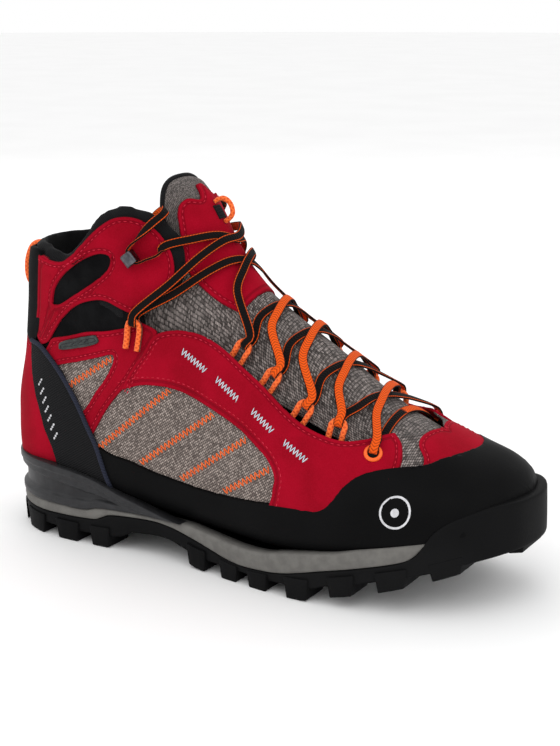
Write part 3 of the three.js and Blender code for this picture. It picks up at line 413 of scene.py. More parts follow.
def suede():
    f = Finish("red_suede", (0.27, 0.001, 0.010), 0.95, specular=0.05, sheen_weight=0.04,
               sheen_roughness=0.45)
    f.set("Sheen Tint", (1.0, 0.35, 0.35, 1))
    nap = f.noise(26, 3)
    fibre = f.noise(0.55, 3, 0.7)
    edge = f.edge()
    body = f.mix(nap.ramp(0.3, 0.7), (0.23, 0.001, 0.008), (0.315, 0.0015, 0.013))
    body = f.mix(fibre.ramp(0.35, 0.75, 0.0, 0.28), body, (0.43, 0.008, 0.03))
    groove = (edge - 2.4).abs().ramp(0.25, 1.0)
    # Painted shade in the stitch groove 2.4 mm in from the cut edge; the groove itself is a real bump. The next
    # mix makes the suede darker within half a millimetre of its cut edge.
    body = f.mix(groove.ramp(0.0, 1.0, 0.45, 0.0), body, (0.12, 0.001, 0.006))
    body = f.mix(edge.ramp(0.05, 0.5, 0.55, 0.0), body, (0.1, 0.001, 0.005))
    f.colour(body)
    f.bump(fibre * 0.16 + nap * 0.5 + groove, 0.34)
    return f.material


def weave(name, dark, mid, light, pitch, depth):
    """Plain weave of heathered yarn. The map's two directions are warp and weft."""
    f = Finish(name, mid, 0.92, specular=0.2, sheen_weight=0.08)
    u, v = f.uv()
    wobble = f.noise(5, 2) * 0.5
    u, v = (u + wobble) / pitch, (v + wobble) / pitch
    fu, fv = (u.fract() - 0.5) * 2.0, (v.fract() - 0.5) * 2.0
    over = (u.floor() + v.floor()).wrap(2.0)
    warp = (fu * fu * -1.0 + 1.0) * (fv * fv * -0.55 + 1.0)
    weft = (fv * fv * -1.0 + 1.0) * (fu * fu * -0.55 + 1.0)
    height = warp * over + weft * (over * -1.0 + 1.0)
    yarn = f.speckle(u.floor(), v.floor())
    body = f.mix(yarn, mid, light)
    body = f.mix(yarn.wrap(0.23).ramp(0.19, 0.21, 0.0, 0.3), body, dark)
    # Painted shade: the yarns turn dark where they dip low between crossings.
    body = f.mix(height.ramp(0.25, 0.75, 0.85, 0.0), body, dark)
    f.colour(body)
    f.bump(height, depth)
    return f.material


def rubber(name, colour, roughness, grain, depth, dust):
    f = Finish(name, colour, roughness, specular=0.04)
    fine, wide = f.noise(grain, 3, 0.6), f.noise(38, 2)
    paler = tuple(c + dust for c in colour)
    f.colour(f.mix(wide.ramp(0.35, 0.75, 0.0, 0.5), colour, paler))
    f.roughness(wide.ramp(0.3, 0.7, roughness - 0.06, roughness + 0.08))
    f.bump(fine, depth)
    return f.material


def softshell():
    f = Finish("softshell", (0.008, 0.008, 0.009), 0.9, specular=0.04, sheen_weight=0.02,
               sheen_roughness=0.4)
    fine = f.noise(0.5, 2, 0.6)
    f.colour(f.mix(f.noise(12, 3).ramp(0.3, 0.7), (0.003, 0.003, 0.0033), (0.0065, 0.0065, 0.007)))
    f.bump(fine, 0.12)
    return f.material


def ribbed(name, colour, paler, pitch, depth):
    """Narrow fabric with ribs across it and a fine twill in each rib."""
    f = Finish(name, colour, 0.75, specular=0.06, sheen_weight=0.02)
    u, v = f.uv()
    rib = (u * (2 * math.pi / pitch)).sin() * 0.5 + 0.5
    twill = ((u * 0.35 + v) * (2 * math.pi / (pitch * 0.7))).sin() * 0.5 + 0.5
    height = rib * 0.65 + twill * 0.35
    # Painted highlight and shade: the raised ribs are paler than the hollows between them.
    f.colour(f.mix(height, colour, paler))
    f.bump(height, depth)
    return f.material


def knitted(name, colour, paler, pitch, depth):
    """Soft lining: rows of small dimples."""
    f = Finish(name, colour, 0.95, specular=0.08, sheen_weight=0.04)
    split = f.node("ShaderNodeSeparateXYZ")
    f.tree.links.new(f.place(), split.inputs[0])
    x, y, z = (Tap(f.tree, split.outputs[k]) * (1000 * 2 * math.pi / pitch) for k in range(3))
    height = ((x + y).sin() * (z * 0.9).sin()) * 0.5 + 0.5
    # Painted highlight on the raised knit, varied at random by the noise; the low knit stays darker.
    f.colour(f.mix(height * f.noise(9, 2), colour, paler))
    f.bump(height, depth)
    return f.material


def braided(name, colour, paler, core):
    """Round cord with a dark line along it. The map is length in mm and turn."""
    f = Finish(name, colour, 0.7, specular=0.3, sheen_weight=0.1)
    u, v = f.uv()
    one = ((u * 0.42 + v * 3.0) * (2 * math.pi)).sin()
    two = ((u * 0.42 - v * 3.0) * (2 * math.pi)).sin()
    height = one.most(two) * 0.5 + 0.5
    # Painted highlight: the raised strands of the braid are paler.
    body = f.mix(height.ramp(0.2, 0.95), colour, paler)
    f.colour(f.mix((v.fract() - 0.25).abs().ramp(0.045, 0.085, 0.92, 0.0), body, core))
    f.bump(height, 0.3)
    return f.material


def flat_braid():
    """Lace: black face with orange edges, and orange face with black edges."""
    f = Finish("lace_braid", (0.006, 0.005, 0.005), 0.8, specular=0.06, sheen_weight=0.02)
    u, v = f.uv()
    turn = v.fract()
    black, orange = (0.005, 0.0045, 0.0045), (0.78, 0.095, 0.008)
    first = (turn - 0.25).abs()
    second = (turn - 0.75).abs()
    front = first.ramp(0.105, 0.125, 1.0, 0.0)
    rear_edge = second.ramp(0.14, 0.16)
    body = f.mix(front, orange, black)
    ring = rear_edge * first.ramp(0.16, 0.18)
    body = f.mix(ring, body, black)
    chevron = ((u * 0.62 + (turn * 4.0).fract().math("PINGPONG", 0.5) * 2.0) * (2 * math.pi)).sin()
    height = chevron * 0.5 + 0.5
    # Painted shade in the low parts between the chevron strands.
    f.colour(f.mix(height.ramp(0.0, 0.55, 0.55, 0.0), body, (0.006, 0.004, 0.004)))
    f.bump(height, 0.22)
    return f.material


def gunmetal():
    f = Finish("gunmetal", (0.09, 0.09, 0.1), 0.25, metallic=1.0)
    f.roughness(f.noise(1.6, 3).ramp(0.3, 0.7, 0.24, 0.42))
    f.colour(f.mix(f.noise(4, 2).ramp(0.35, 0.7), (0.06, 0.06, 0.068), (0.13, 0.13, 0.14)))
    f.bump(f.noise(0.7, 2), 0.02)
    return f.material


def plain_grain(name, colour, paler, roughness, grain, depth):
    f = Finish(name, colour, roughness, specular=0.2)
    f.colour(f.mix(f.noise(grain * 6, 3).ramp(0.3, 0.7), colour, paler))
    f.bump(f.noise(grain, 3), depth)
    return f.material


FINISH = {
    "suede": suede(),
    "side_mesh": weave("side_mesh", (0.03, 0.022, 0.019), (0.14, 0.108, 0.095),
                       (0.44, 0.365, 0.325), 1.2, 0.55),
    "tongue_mesh": weave("tongue_mesh", (0.012, 0.010, 0.009), (0.06, 0.049, 0.045),
                         (0.36, 0.31, 0.29), 0.95, 0.45),
    "rand": rubber("rand_rubber", (0.0028, 0.0028, 0.003), 0.5, 0.8, 0.07, 0.003),
    "outsole": rubber("lugged_rubber", (0.005, 0.005, 0.0053), 0.55, 1.1, 0.1, 0.006),
    "stripe": plain_grain("midsole_foam", (0.115, 0.11, 0.103), (0.145, 0.14, 0.13), 0.75, 0.9, 0.1),
    "cradle": plain_grain("moulded_cradle", (0.018, 0.018, 0.0195), (0.026, 0.026, 0.028), 0.45, 0.7, 0.05),
    "softshell": softshell(),
    "strap": ribbed("strap_webbing", (0.003, 0.003, 0.0035), (0.013, 0.013, 0.014), 1.15, 0.3),
    "piping": ribbed("strap_piping", (0.011, 0.012, 0.02), (0.03, 0.034, 0.055), 0.8, 0.15),
    "lining": knitted("lining_textile", (0.006, 0.006, 0.0065), (0.018, 0.018, 0.019), 1.6, 0.3),
    "collar": knitted("collar_textile", (0.005, 0.005, 0.0055), (0.016, 0.016, 0.017), 1.1, 0.2),
    "binding": ribbed("binding_tape", (0.004, 0.004, 0.0045), (0.012, 0.012, 0.013), 0.9, 0.15),
    "pull_cord": braided("pull_cord", (0.62, 0.07, 0.008), (0.9, 0.15, 0.022), core=(0.012, 0.01, 0.01)),
    "lace": flat_braid(),
    "eyelet": plain_grain("eyelet_paint", (0.8, 0.1, 0.014), (0.88, 0.14, 0.025), 0.35, 0.8, 0.02),
    "hook": gunmetal(),
    "label": plain_grain("label_plastic", (0.022, 0.027, 0.026), (0.045, 0.052, 0.05), 0.45, 0.5, 0.03),
    "badge": plain_grain("badge_print", (0.5, 0.5, 0.52), (0.66, 0.66, 0.68), 0.4, 0.4, 0.02),
    "board": plain_grain("lasting_board", (0.42, 0.32, 0.19), (0.55, 0.44, 0.28), 0.9, 0.8, 0.06),
    "footbed": knitted("footbed_foam", (0.018, 0.018, 0.02), (0.04, 0.04, 0.044), 2.2, 0.3),
    "red_thread": plain_grain("red_thread", (0.42, 0.006, 0.02), (0.55, 0.02, 0.05), 0.8, 0.4, 0.05),
    "orange_thread": plain_grain("orange_thread", (0.8, 0.11, 0.015), (0.92, 0.17, 0.03), 0.75, 0.4, 0.05),
    "blue_thread": plain_grain("blue_thread", (0.42, 0.58, 0.66), (0.62, 0.72, 0.78), 0.7, 0.4, 0.05),
    "floor": plain_grain("floor_paper", (0.93, 0.93, 0.93), (0.95, 0.95, 0.95), 0.9, 30, 0.0),
}
lay_floor(FINISH["floor"])


# ------------------------------------------------------------------ mesh helpers
def add_piece(name, bm, finish, nodes=(), body=BOOT):
    """A finished bmesh, in metres, as an object that rides on its body."""
    mesh = mesh_of(name, bm)
    mesh.polygons.foreach_set("use_smooth", [True] * len(mesh.polygons))
    mesh.materials.append(FINISH[finish])
    piece = link(name, mesh)
    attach(piece, body)
    if nodes:
        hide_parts(*nodes)
    return piece


def set_places(verts, points):
    for v, p in zip(verts, metres(points)):
        v.co = p


CURVE_STEPS = 5                  # steps of a smooth curve between two of its points


def smooth_curve(points, closed=True, corners=(), steps=CURVE_STEPS):
    """Smooth curve through a few points, sharp at the corners. It starts at the first corner."""
    pts = np.asarray(points, float)
    n = len(pts)
    if closed and not corners:
        runs = [np.vstack([pts[-1:], pts, pts[:2]])]
    else:
        if closed:
            first = corners[0]
            pts = np.vstack([pts[first:], pts[:first + 1]])
            stops = sorted({(c - first) % n for c in corners} | {0, n})
        else:
            stops = sorted(set(corners) | {0, n - 1})
        runs = [pts[s:e + 1] for s, e in zip(stops, stops[1:])]
        runs = [np.vstack([2 * run[0] - run[1], run, 2 * run[-1] - run[-2]]) for run in runs]
    made = [spline(*run[k - 1:k + 3], f) for run in runs for k in range(1, len(run) - 2)
            for f in np.arange(steps) / steps]
    if not closed:
        made.append(pts[-1])
    return np.array(made)


def line_of(table):
    """Smooth height over x through the points of a table."""
    pts = smooth_curve(table, closed=False, steps=6)
    xs = np.maximum.accumulate(pts[:, 0] + np.arange(len(pts)) * 1e-6)
    return lambda x: np.interp(x, xs, pts[:, 1])


GRID_STEP = 3.4                  # mm between the grid lines that cross the last
T_LINES = []
for row in range(len(LAST) - 1):
    length = max(np.hypot(*(LAST[row + 1, :2] - LAST[row, :2])), 5.0)
    count = math.ceil(length / GRID_STEP)
    T_LINES += [row + k / count for k in range(count)]
A_STEP = 1 / 132
T_UNIT, A_UNIT = 10.0, 300.0     # size of the flat sheet for one unit of t and of a
WELD = 0.42                      # mm within which points of a panel are joined
PLACE = "place"


def slice_sheet(bm, x=None, y=None):
    """Cuts a flat sheet along one line, at this x or this y."""
    place, way = ((x, 0, 0), (1, 0, 0)) if y is None else ((0, y, 0), (0, 1, 0))
    bmesh.ops.bisect_plane(bm, geom=bm.verts[:] + bm.edges[:] + bm.faces[:], dist=1e-4,
                           plane_co=place, plane_no=way)


def cut_sheet(loops):
    """Flat sheet in the (t, a) plane with its grid lines cut in. The first loop is its outline."""
    bm = bmesh.new()
    layer = bm.verts.layers.float_vector.new(PLACE)
    edges = []
    for loop in loops:
        verts = [bm.verts.new((t * T_UNIT, a * A_UNIT, 0)) for t, a in loop]
        if len(loops) == 1:
            bm.faces.new(verts)
        else:
            edges += [bm.edges.new((verts[k], verts[(k + 1) % len(verts)])) for k in range(len(verts))]
    if len(loops) > 1:
        bmesh.ops.triangle_fill(bm, use_beauty=False, use_dissolve=True, edges=edges, normal=(0, 0, 1))
    low, high = loops[0].min(0), loops[0].max(0)
    for t in T_LINES:
        if low[0] < t < high[0]:
            slice_sheet(bm, x=t * T_UNIT)
    for k in range(math.ceil(low[1] / A_STEP), math.floor(high[1] / A_STEP) + 1):
        slice_sheet(bm, y=k * A_STEP * A_UNIT)
    for v in bm.verts:
        v[layer] = (v.co.x / T_UNIT, v.co.y / A_UNIT, 0)
    return bm, layer


def lift_at(rule, t, a):
    """Offsets in mm, from one number or from a rule of (t, a)."""
    return rule(t, a) if callable(rule) else rule


def lay_on_last(verts, layer, rule):
    """Moves points of a cut sheet to their places on the last."""
    where = np.array([v[layer] for v in verts])
    t, a = where[:, 0], where[:, 1]
    set_places(verts, surface(t, a, lift_at(rule, t, a)))


def extruded(bm, faces):
    """The new points that extruding these faces makes."""
    made = bmesh.ops.extrude_face_region(bm, geom=faces)["geom"]
    return [v for v in made if isinstance(v, bmesh.types.BMVert)]


def round_edges(bm, edges, width, segments=2, clamp=True):
    bmesh.ops.bevel(bm, geom=edges, offset=width * MM, offset_type="OFFSET", segments=segments,
                    profile=0.5, affect="EDGES", clamp_overlap=clamp, material=-1)


def panel_mesh(loops, out, back, rim=0.32):
    """Panel of the upper between the offsets back and out, its edge rounded by rim mm."""
    bm, layer = cut_sheet(loops)
    lay_on_last(bm.verts, layer, out)
    bmesh.ops.remove_doubles(bm, verts=bm.verts[:], dist=WELD * MM)
    bmesh.ops.dissolve_degenerate(bm, dist=0.02 * MM, edges=bm.edges[:])
    rims = [e for e in bm.edges if e.is_boundary]
    lay_on_last(extruded(bm, bm.faces[:]), layer, back)
    if rim:
        round_edges(bm, [e for e in rims if e.is_valid], rim, clamp=False)
    bmesh.ops.recalc_face_normals(bm, faces=bm.faces[:])
    return bm


def mark_edges(piece, loops, out):
    """Writes each point's distance from the cut edge, in mm, for the finishes to read."""
    chain = np.vstack([np.vstack([loop, loop[:1]]) for loop in loops])
    fine = np.vstack([chain[:-1] + (chain[1:] - chain[:-1]) * f for f in (0, 0.25, 0.5, 0.75)])
    t, a = fine.T
    tree = tree_of(metres(surface(t, a, lift_at(out, t, a))))
    mesh = piece.data
    values = [tree.find(v.co)[2] / MM for v in mesh.vertices]
    mesh.attributes.new("edge", "FLOAT", "POINT").data.foreach_set("value", values)


def map_side(piece, angle=0.0):
    """Map in mm from the side view, its first direction turned by angle degrees."""
    mesh = piece.data
    co = np.array([v.co[:] for v in mesh.vertices]) / MM
    c, s = math.cos(math.radians(angle)), math.sin(math.radians(angle))
    flat = np.stack([co[:, 0] * c + co[:, 2] * s, co[:, 2] * c - co[:, 0] * s], -1)
    layer = mesh.uv_layers.new(name="cut")
    corner = np.array([loop.vertex_index for loop in mesh.loops])
    layer.data.foreach_set("uv", flat[corner].astype(np.float32).ravel())


def sew_panel(name, loops, out, back, finish, nodes=(), rim=0.32, angle=0.0, body=BOOT):
    piece = add_piece(name, panel_mesh(loops, out, back, rim), finish, nodes, body)
    mark_edges(piece, loops, out)
    map_side(piece, angle)
    return piece


def side_loop(points, side, corners=()):
    return smooth_curve(from_side(points, side), corners=corners)


def round_heel(points, middle):
    """Chain round the heel: side-view points, places at the back, and the points again."""
    left = from_side(points, LATERAL)
    right = from_side(points, MEDIAL)
    right[:, 1] += 1
    return np.vstack([left, np.asarray(middle, float).reshape(-1, 2), right[::-1]])


def grid_shape(nu, nv, point, wrap_v=False, wrap_u=False, uv=None):
    """Sheet of nu by nv faces from a created grid. point(i, j) gives places in mm for its steps."""
    bm = bmesh.new()
    bmesh.ops.create_grid(bm, x_segments=nu, y_segments=nv, size=0.5)
    i = np.rint(np.array([(v.co.x + 0.5) * nu for v in bm.verts])).astype(int)
    j = np.rint(np.array([(v.co.y + 0.5) * nv for v in bm.verts])).astype(int)
    if uv is not None:
        layer = bm.loops.layers.uv.new("cut")
        mapped = uv(i, j)
        bm.verts.index_update()
        for face in bm.faces:
            for corner in face.loops:
                corner[layer].uv = mapped[corner.vert.index]
    set_places(bm.verts, point(i % nu if wrap_u else i, j % nv if wrap_v else j))
    if wrap_u or wrap_v:
        bmesh.ops.remove_doubles(bm, verts=bm.verts[:], dist=1e-7)
    return bm


def close_ends(bm):
    rims = [e for e in bm.edges if e.is_boundary]
    if rims:
        bmesh.ops.holes_fill(bm, edges=rims, sides=0)
    bmesh.ops.recalc_face_normals(bm, faces=bm.faces[:])
    return bm


def swept(path, width_way, outline, face=None):
    """Closed outline of (across, up) carried along a path. The map is length in mm and turn."""
    path = np.asarray(path, float)
    run = unit(np.gradient(path, axis=0))
    wide = unit(width_way - (width_way * run).sum(-1, keepdims=True) * run)
    high = np.cross(run, wide)
    length = np.concatenate([[0], np.cumsum(np.linalg.norm(np.diff(path, axis=0), axis=1))])
    outline = np.asarray(outline, float)
    n = len(outline)
    at = lambda i, j: path[i] + wide[i] * outline[j, :1] + high[i] * outline[j, 1:]
    face = np.zeros(len(path)) if face is None else face
    uv = lambda i, j: np.stack([length[i], j / n + face[i]], -1)
    return close_ends(grid_shape(len(path) - 1, n, at, wrap_v=True, uv=uv))


def round_section(radius, sides=10, flat=1.0):
    turn = turns(sides)
    return np.stack([radius * np.cos(turn), radius * flat * np.sin(turn)], -1)


def resample(points, step, ways=None):
    """Smooth path through the stops, and the directions that go with them."""
    pts = np.asarray(points, float)
    length = np.concatenate([[0], np.cumsum(np.linalg.norm(np.diff(pts, axis=0), axis=1) ** 0.5)])
    from_knots = lambda values: natural_curve(length, values)
    dense = np.linspace(0, length[-1], max(int(len(pts) * 10), 20))
    path = from_knots(pts)(dense)
    run = np.concatenate([[0], np.cumsum(np.linalg.norm(np.diff(path, axis=0), axis=1))])
    even = np.linspace(0, run[-1], max(int(run[-1] / step), 4))
    knots = np.interp(even, run, dense)
    path = from_knots(pts)(knots)
    if ways is None:
        return path
    return path, unit(np.stack([np.interp(knots, length, np.asarray(ways)[:, k]) for k in range(3)], -1))


def natural_curve(knots, values):
    """Cubic through the values with Catmull-Rom slopes at uneven knots."""
    values = np.asarray(values, float)
    slope = np.gradient(values, knots, axis=0)

    def at(x):
        k = np.clip(np.searchsorted(knots, x, side="right") - 1, 0, len(knots) - 2)
        h = (knots[k + 1] - knots[k])[:, None]
        f = ((x - knots[k])[:, None]) / h
        return ((2 * f ** 3 - 3 * f ** 2 + 1) * values[k] + (f ** 3 - 2 * f ** 2 + f) * h * slope[k]
                + (-2 * f ** 3 + 3 * f ** 2) * values[k + 1] + (f ** 3 - f ** 2) * h * slope[k + 1])
    return at


# ------------------------------------------------------------------ threads
def bead(bm, place, way, out, length, width, height):
    """One stitch: a small rounded bead lying along way."""
    way = Vector(way).normalized()
    out = Vector(out)
    out = (out - way * out.dot(way)).normalized()
    turn = Matrix((way, out.cross(way), out)).transposed().to_4x4()
    size = Matrix.Diagonal((length * MM / 2, width * MM / 2, height * MM / 2, 1))
    bmesh.ops.create_icosphere(bm, subdivisions=1, radius=1.0,
                               matrix=Matrix.Translation(Vector(metres(place))) @ turn @ size)


def thread_run(bm, chain, lift, inset, pitch=3.1, length=2.1, width=0.62, height=0.5):
    """Straight stitches beside a chain of (t, a) places."""
    p, _, _, out = frames(chain[:, 0], chain[:, 1], lift)
    run = unit(np.gradient(p, axis=0))
    p = p + unit(np.cross(out, run)) * inset
    far = np.concatenate([[0], np.cumsum(np.linalg.norm(np.diff(p, axis=0), axis=1))])
    for s in np.arange(pitch / 2, far[-1], pitch):
        at, way, away = ([np.interp(s, far, values[:, k]) for k in range(3)] for values in (p, run, out))
        bead(bm, at, way, away, length, width, height)


def zigzag_run(bm, start, end, side, lift, reach, pitch, width, height):
    """Zigzag of thread between two side-view places."""
    count = max(int(math.dist(start, end) / pitch * 2), 3)
    f = np.linspace(0, 1, count + 1)[:, None]
    chain = from_side(np.asarray(start) * (1 - f) + np.asarray(end) * f, side)
    p, _, _, out = frames(chain[:, 0], chain[:, 1], lift)
    over = unit(np.cross(out, unit(np.gradient(p, axis=0))))
    swing = np.where(np.arange(count + 1) % 2 == 0, 1, -1)[:, None] * reach / 2
    knots = p + over * swing
    for k in range(count):
        step = knots[k + 1] - knots[k]
        bead(bm, (knots[k] + knots[k + 1]) / 2, step, out[k], np.linalg.norm(step) * 1.12, width, height)


# ------------------------------------------------------------------ outlines of the upper, side view
THROAT = [(-46, 119), (-34, 120.5), (-24, 120.5), (-13, 118), (-2, 113), (8, 107), (21, 99.5), (33, 91.5),
          (44, 85), (56, 80.5), (67, 78.5), (77, 79.5), (86, 81)]
QUARTER_FRONT = [(91, 77), (94.5, 70), (93, 62)]
RAND_TOP = [(-86, 61), (-80, 56), (-70, 52), (-57, 50), (-38, 46), (-12, 43.5), (12, 43.5), (32, 45),
            (50, 46), (61, 47.5), (67, 53), (72, 60), (79, 65.5), (88, 68), (104, 69.5), (118, 71.5)]
WINDOW_TOP = [(-62, 87.5), (-50, 91.5), (-38, 92.5), (-26, 91.5), (-13, 88), (0, 83.5), (12, 78.5), (22, 72.5),
              (30, 66.5), (34.5, 59), (33.5, 50), (32, 40)]
SEAM = [(-63, 89), (-56, 99), (-49, 109), (-44, 117)]
FRONT_QUARTER = THROAT[1:] + QUARTER_FRONT + [(82, 62), (74, 55), (68, 47), (60, 42), (46, 41)] \
    + WINDOW_TOP[::-1] + SEAM[1:]
REAR_QUARTER = [(-118, 96), (-112, 104.5), (-109, 108.6), (-100, 110.8), (-85, 115), (-67, 118), (-57, 121),
                (-58, 126), (-52, 123), (-43, 119.5), (-45, 113), (-52, 102), (-60, 90), (-71, 77), (-80, 63),
                (-86, 52), (-92, 60), (-91, 70), (-85.5, 74.5), (-78, 85), (-71, 94.5), (-67.5, 102.5),
                (-71, 104.5), (-88, 99.5), (-103, 95.5), (-113, 91)]
SIDE_MESH = [(-96, 54), (-76, 82), (-60, 95), (-40, 97), (-20, 94.5), (0, 88), (16, 81), (28, 73),
             (38, 63), (38, 40), (0, 36), (-40, 38), (-80, 45)]
REAR_MESH = [(-116, 90), (-104, 99), (-84, 104), (-66, 109), (-62, 102), (-74, 84), (-84, 70), (-96, 62),
             (-104, 76)]
CUFF = [(-118, 104), (-112, 106.5), (-108, 112), (-102, 119.5), (-94, 126.5), (-86, 130.5), (-76, 132.5),
        (-67, 130), (-57.5, 127), (-46, 132.5), (-38.5, 140), (-37, 150), (-40, 160), (-47, 170), (-55, 175.5),
        (-64, 176), (-73, 171.5), (-86, 160), (-93, 154), (-101, 150.5), (-115, 153), (-119.5, 128), (-123, 111)]
UPPER_INSERT = [(-108, 127), (-105, 136), (-97, 145), (-86, 152.5), (-76, 156.5), (-70, 155.5),
                (-71, 149), (-79, 142), (-91, 134.5), (-102, 128)]
ANKLE_SHELL = [(-119, 104), (-100, 106), (-84, 110), (-66, 114), (-53, 119), (-53, 127), (-60, 136), (-63, 150),
               (-68, 162), (-84, 159), (-98, 151), (-112, 150), (-117, 126)]
TOE_REAR = [(100, 80.3), (96.6, 79.4), (97.5, 76.5), (103, 71.5), (104.5, 66)]
VAMP_STRIP = [(84, 80.5), (92, 80.5), (101, 79), (108, 70), (110, 60), (88, 58), (88, 70)]
HEEL_TAB = [(-125.5, 103), (-121, 110), (-117.2, 127), (-113.5, 153)]
STRAP = [(-125.6, 105.5), (-117, 104), (-108, 98), (-98.5, 88.5), (-90, 77), (-83, 65), (-77, 54),
         (-70.5, 34), (-103.5, 38), (-108.5, 52), (-115, 66), (-122, 84)]
COLLAR_EDGE = [(-121, 158.5), (-110, 156.5), (-101, 155), (-94.5, 158), (-87, 164.5), (-76, 177),
               (-66, 182.5), (-53, 182.5), (-41, 176), (-32.5, 164.5), (-30, 151.5), (-34, 140.5),
               (-45, 131.5), (-55, 126)]
COLLAR_FOOT = [(-54, 112), (-70, 118), (-86, 124), (-104, 126), (-122, 128)]
LABEL = [(-103, 104.9), (-101.6, 108), (-91, 111.2), (-80.5, 113.9), (-77.6, 112.6), (-78, 109.8),
         (-90, 106.3), (-101, 104.1)]
BADGE_AT, BADGE_SIZE = (98, 51), 7.2
# Which points of these outlines are sharp corners
FRONT_CORNERS, REAR_CORNERS, CUFF_CORNERS = (11, 19, 31), (0, 7, 11, 15), (0, 8, 20)

# Offsets from the last, in mm
SHELL_IN, SHELL_OUT = -1.1, -0.15
SUEDE_IN, SUEDE_OUT = -0.6, 0.75
OVERLAP_OUT = 1.25
RAND_OUT = 1.55
STRAP_IN, STRAP_OUT = 0.5, 2.1
CUFF_SWELL, RAND_THINNING = 1.0, 1.0


def cuff_height(t, a):
    """The padded cuff swells a little over the ankle."""
    z = surface(t, a, 0.0)[..., 2]
    return SUEDE_OUT + CUFF_SWELL * np.clip((z - 112) / 25, 0, 1) * np.clip((176 - z) / 14, 0.25, 1)


def tab_height(t, a):
    """The heel tab swells towards its top."""
    return 1.0 + 0.8 * np.clip((t - 13) / 1.5, 0, 1)


def rand_height(t, a):
    """The rand thins out where it goes under the sole."""
    start = 0.36 - 0.11 * np.clip((2.6 - t) / 0.5, 0, 1)
    return RAND_OUT - RAND_THINNING * np.clip((np.abs(a) - start) / 0.07, 0, 1)


def sew_side(side_name, side):
    """The panels that both sides have, from the innermost outwards."""
    nodes = lambda *names: [f"{n}_{side_name}" for n in names]
    for part, outline in (("side_mesh", SIDE_MESH), ("rear_mesh", REAR_MESH)):
        sew_panel(f"{part}_{side_name}_cloth", [side_loop(outline, side)], SHELL_OUT, SHELL_IN,
                  "side_mesh", nodes(part), rim=0, angle=34)
    sew_panel(f"ankle_shell_{side_name}", [side_loop(ANKLE_SHELL, side)],
              lambda t, a: cuff_height(t, a) - 0.95, SHELL_IN, "softshell",
              nodes("upper_insert", "lower_insert"), rim=0)
    sew_panel(f"rear_quarter_{side_name}_suede", [side_loop(REAR_QUARTER, side, REAR_CORNERS)],
              SUEDE_OUT, SUEDE_IN, "suede")
    sew_panel(f"front_quarter_{side_name}_suede", [side_loop(FRONT_QUARTER, side, FRONT_CORNERS)],
              OVERLAP_OUT, SUEDE_IN, "suede", nodes("quarter"))
    cuff = [side_loop(CUFF, side, CUFF_CORNERS), side_loop(UPPER_INSERT, side, (0,))]
    sew_panel(f"cuff_{side_name}_suede", cuff, cuff_height, SUEDE_IN, "suede", nodes("cuff"))
    sew_panel(f"heel_strap_{side_name}_webbing", [side_loop(STRAP, side, (0, 7, 8))], STRAP_OUT,
              STRAP_IN, "strap", nodes("heel_strap"), rim=0.45, angle=-58)
    sew_panel(f"vamp_mesh_{side_name}_cloth", [side_loop(VAMP_STRIP, side)], SHELL_OUT, SHELL_IN,
              "tongue_mesh", nodes("vamp_mesh"), rim=0)


def sew_heel():
    top = round_heel([(-97, 38.4), (-102, 50), (-109, 64), (-118, 82), (-124.5, 104)],
                     [(12.62, 0.44), (12.68, 0.5), (12.62, 0.56)])
    foot = round_heel([(-110, 38.6), (-125, 38.8), (-139, 39.4)], [(10.47, 0.5)])
    panel = np.vstack([top, foot[::-1]])
    sew_panel("heel_panel_suede", [smooth_curve(panel, corners=(0, 4, 8, 12))], SUEDE_OUT, SUEDE_IN,
              "suede", ["heel_panel"])
    top = round_heel(HEEL_TAB, [(14.2, 0.37), (14.42, 0.43), (14.52, 0.5), (14.42, 0.57), (14.2, 0.63)])
    tab = np.vstack([top, [(12.45, 0.57), (12.4, 0.5), (12.45, 0.43)]])
    sew_panel("heel_tab_softshell", [smooth_curve(tab, corners=(0, 12))], tab_height, SUEDE_IN,
              "softshell", ["heel_tab"], rim=0.5)


def sew_toe_overlay():
    outline = TOE_REAR + [(103, 63), (112, 65), (120, 64)]
    left, right = from_side(outline, LATERAL), from_side(outline, MEDIAL)
    ridge = from_side([(101.2, 79.4)], LATERAL)[0]
    overlay = np.vstack([[(ridge[0] - 0.02, 0)], left, [(2.25, 0.07), (2.2, 0), (2.25, -0.07)], right[::-1]])
    loop = smooth_curve(overlay, corners=(0, 8, 12))
    height = OVERLAP_OUT - 0.2
    sew_panel("toe_overlay_suede", [loop], height, SUEDE_IN, "suede", ["toe_overlay"])
    red = bmesh.new()
    stitch(red, loop, [(0, 5), (15, 0)], 2.2, height, 0, len(overlay))
    add_piece("toe_overlay_stitches", red, "red_thread")


def wrap_rand():
    """Rubber round the foot, from one side over the toe to the other."""
    top = from_side(RAND_TOP, LATERAL)
    low = [(9.35, 0.39), (8.9, 0.43), (7.5, 0.425)] + [(t, 0.42) for t in (6, 4.6, 3.4, 2.2, 1.2, 0.02)]
    left = np.vstack([low[::-1], top[:-1], [(3.12, 0.093), (2.9, 0.067), (2.7, 0.034)]])
    rand = np.vstack([left, [(2.62, 0)], left[::-1] * (1, -1)])
    first, last = len(low) - 1, len(rand) - 1
    sew_panel("rubber_rand_wrap", [smooth_curve(rand, corners=(0, first, last - first, last))],
              rand_height, SUEDE_IN, "rand", ["rubber_rand"], rim=0.5)


def sew_upper():
    for side_name, side in SIDES:
        sew_side(side_name, side)
    sew_heel()
    sew_toe_overlay()
    wrap_rand()


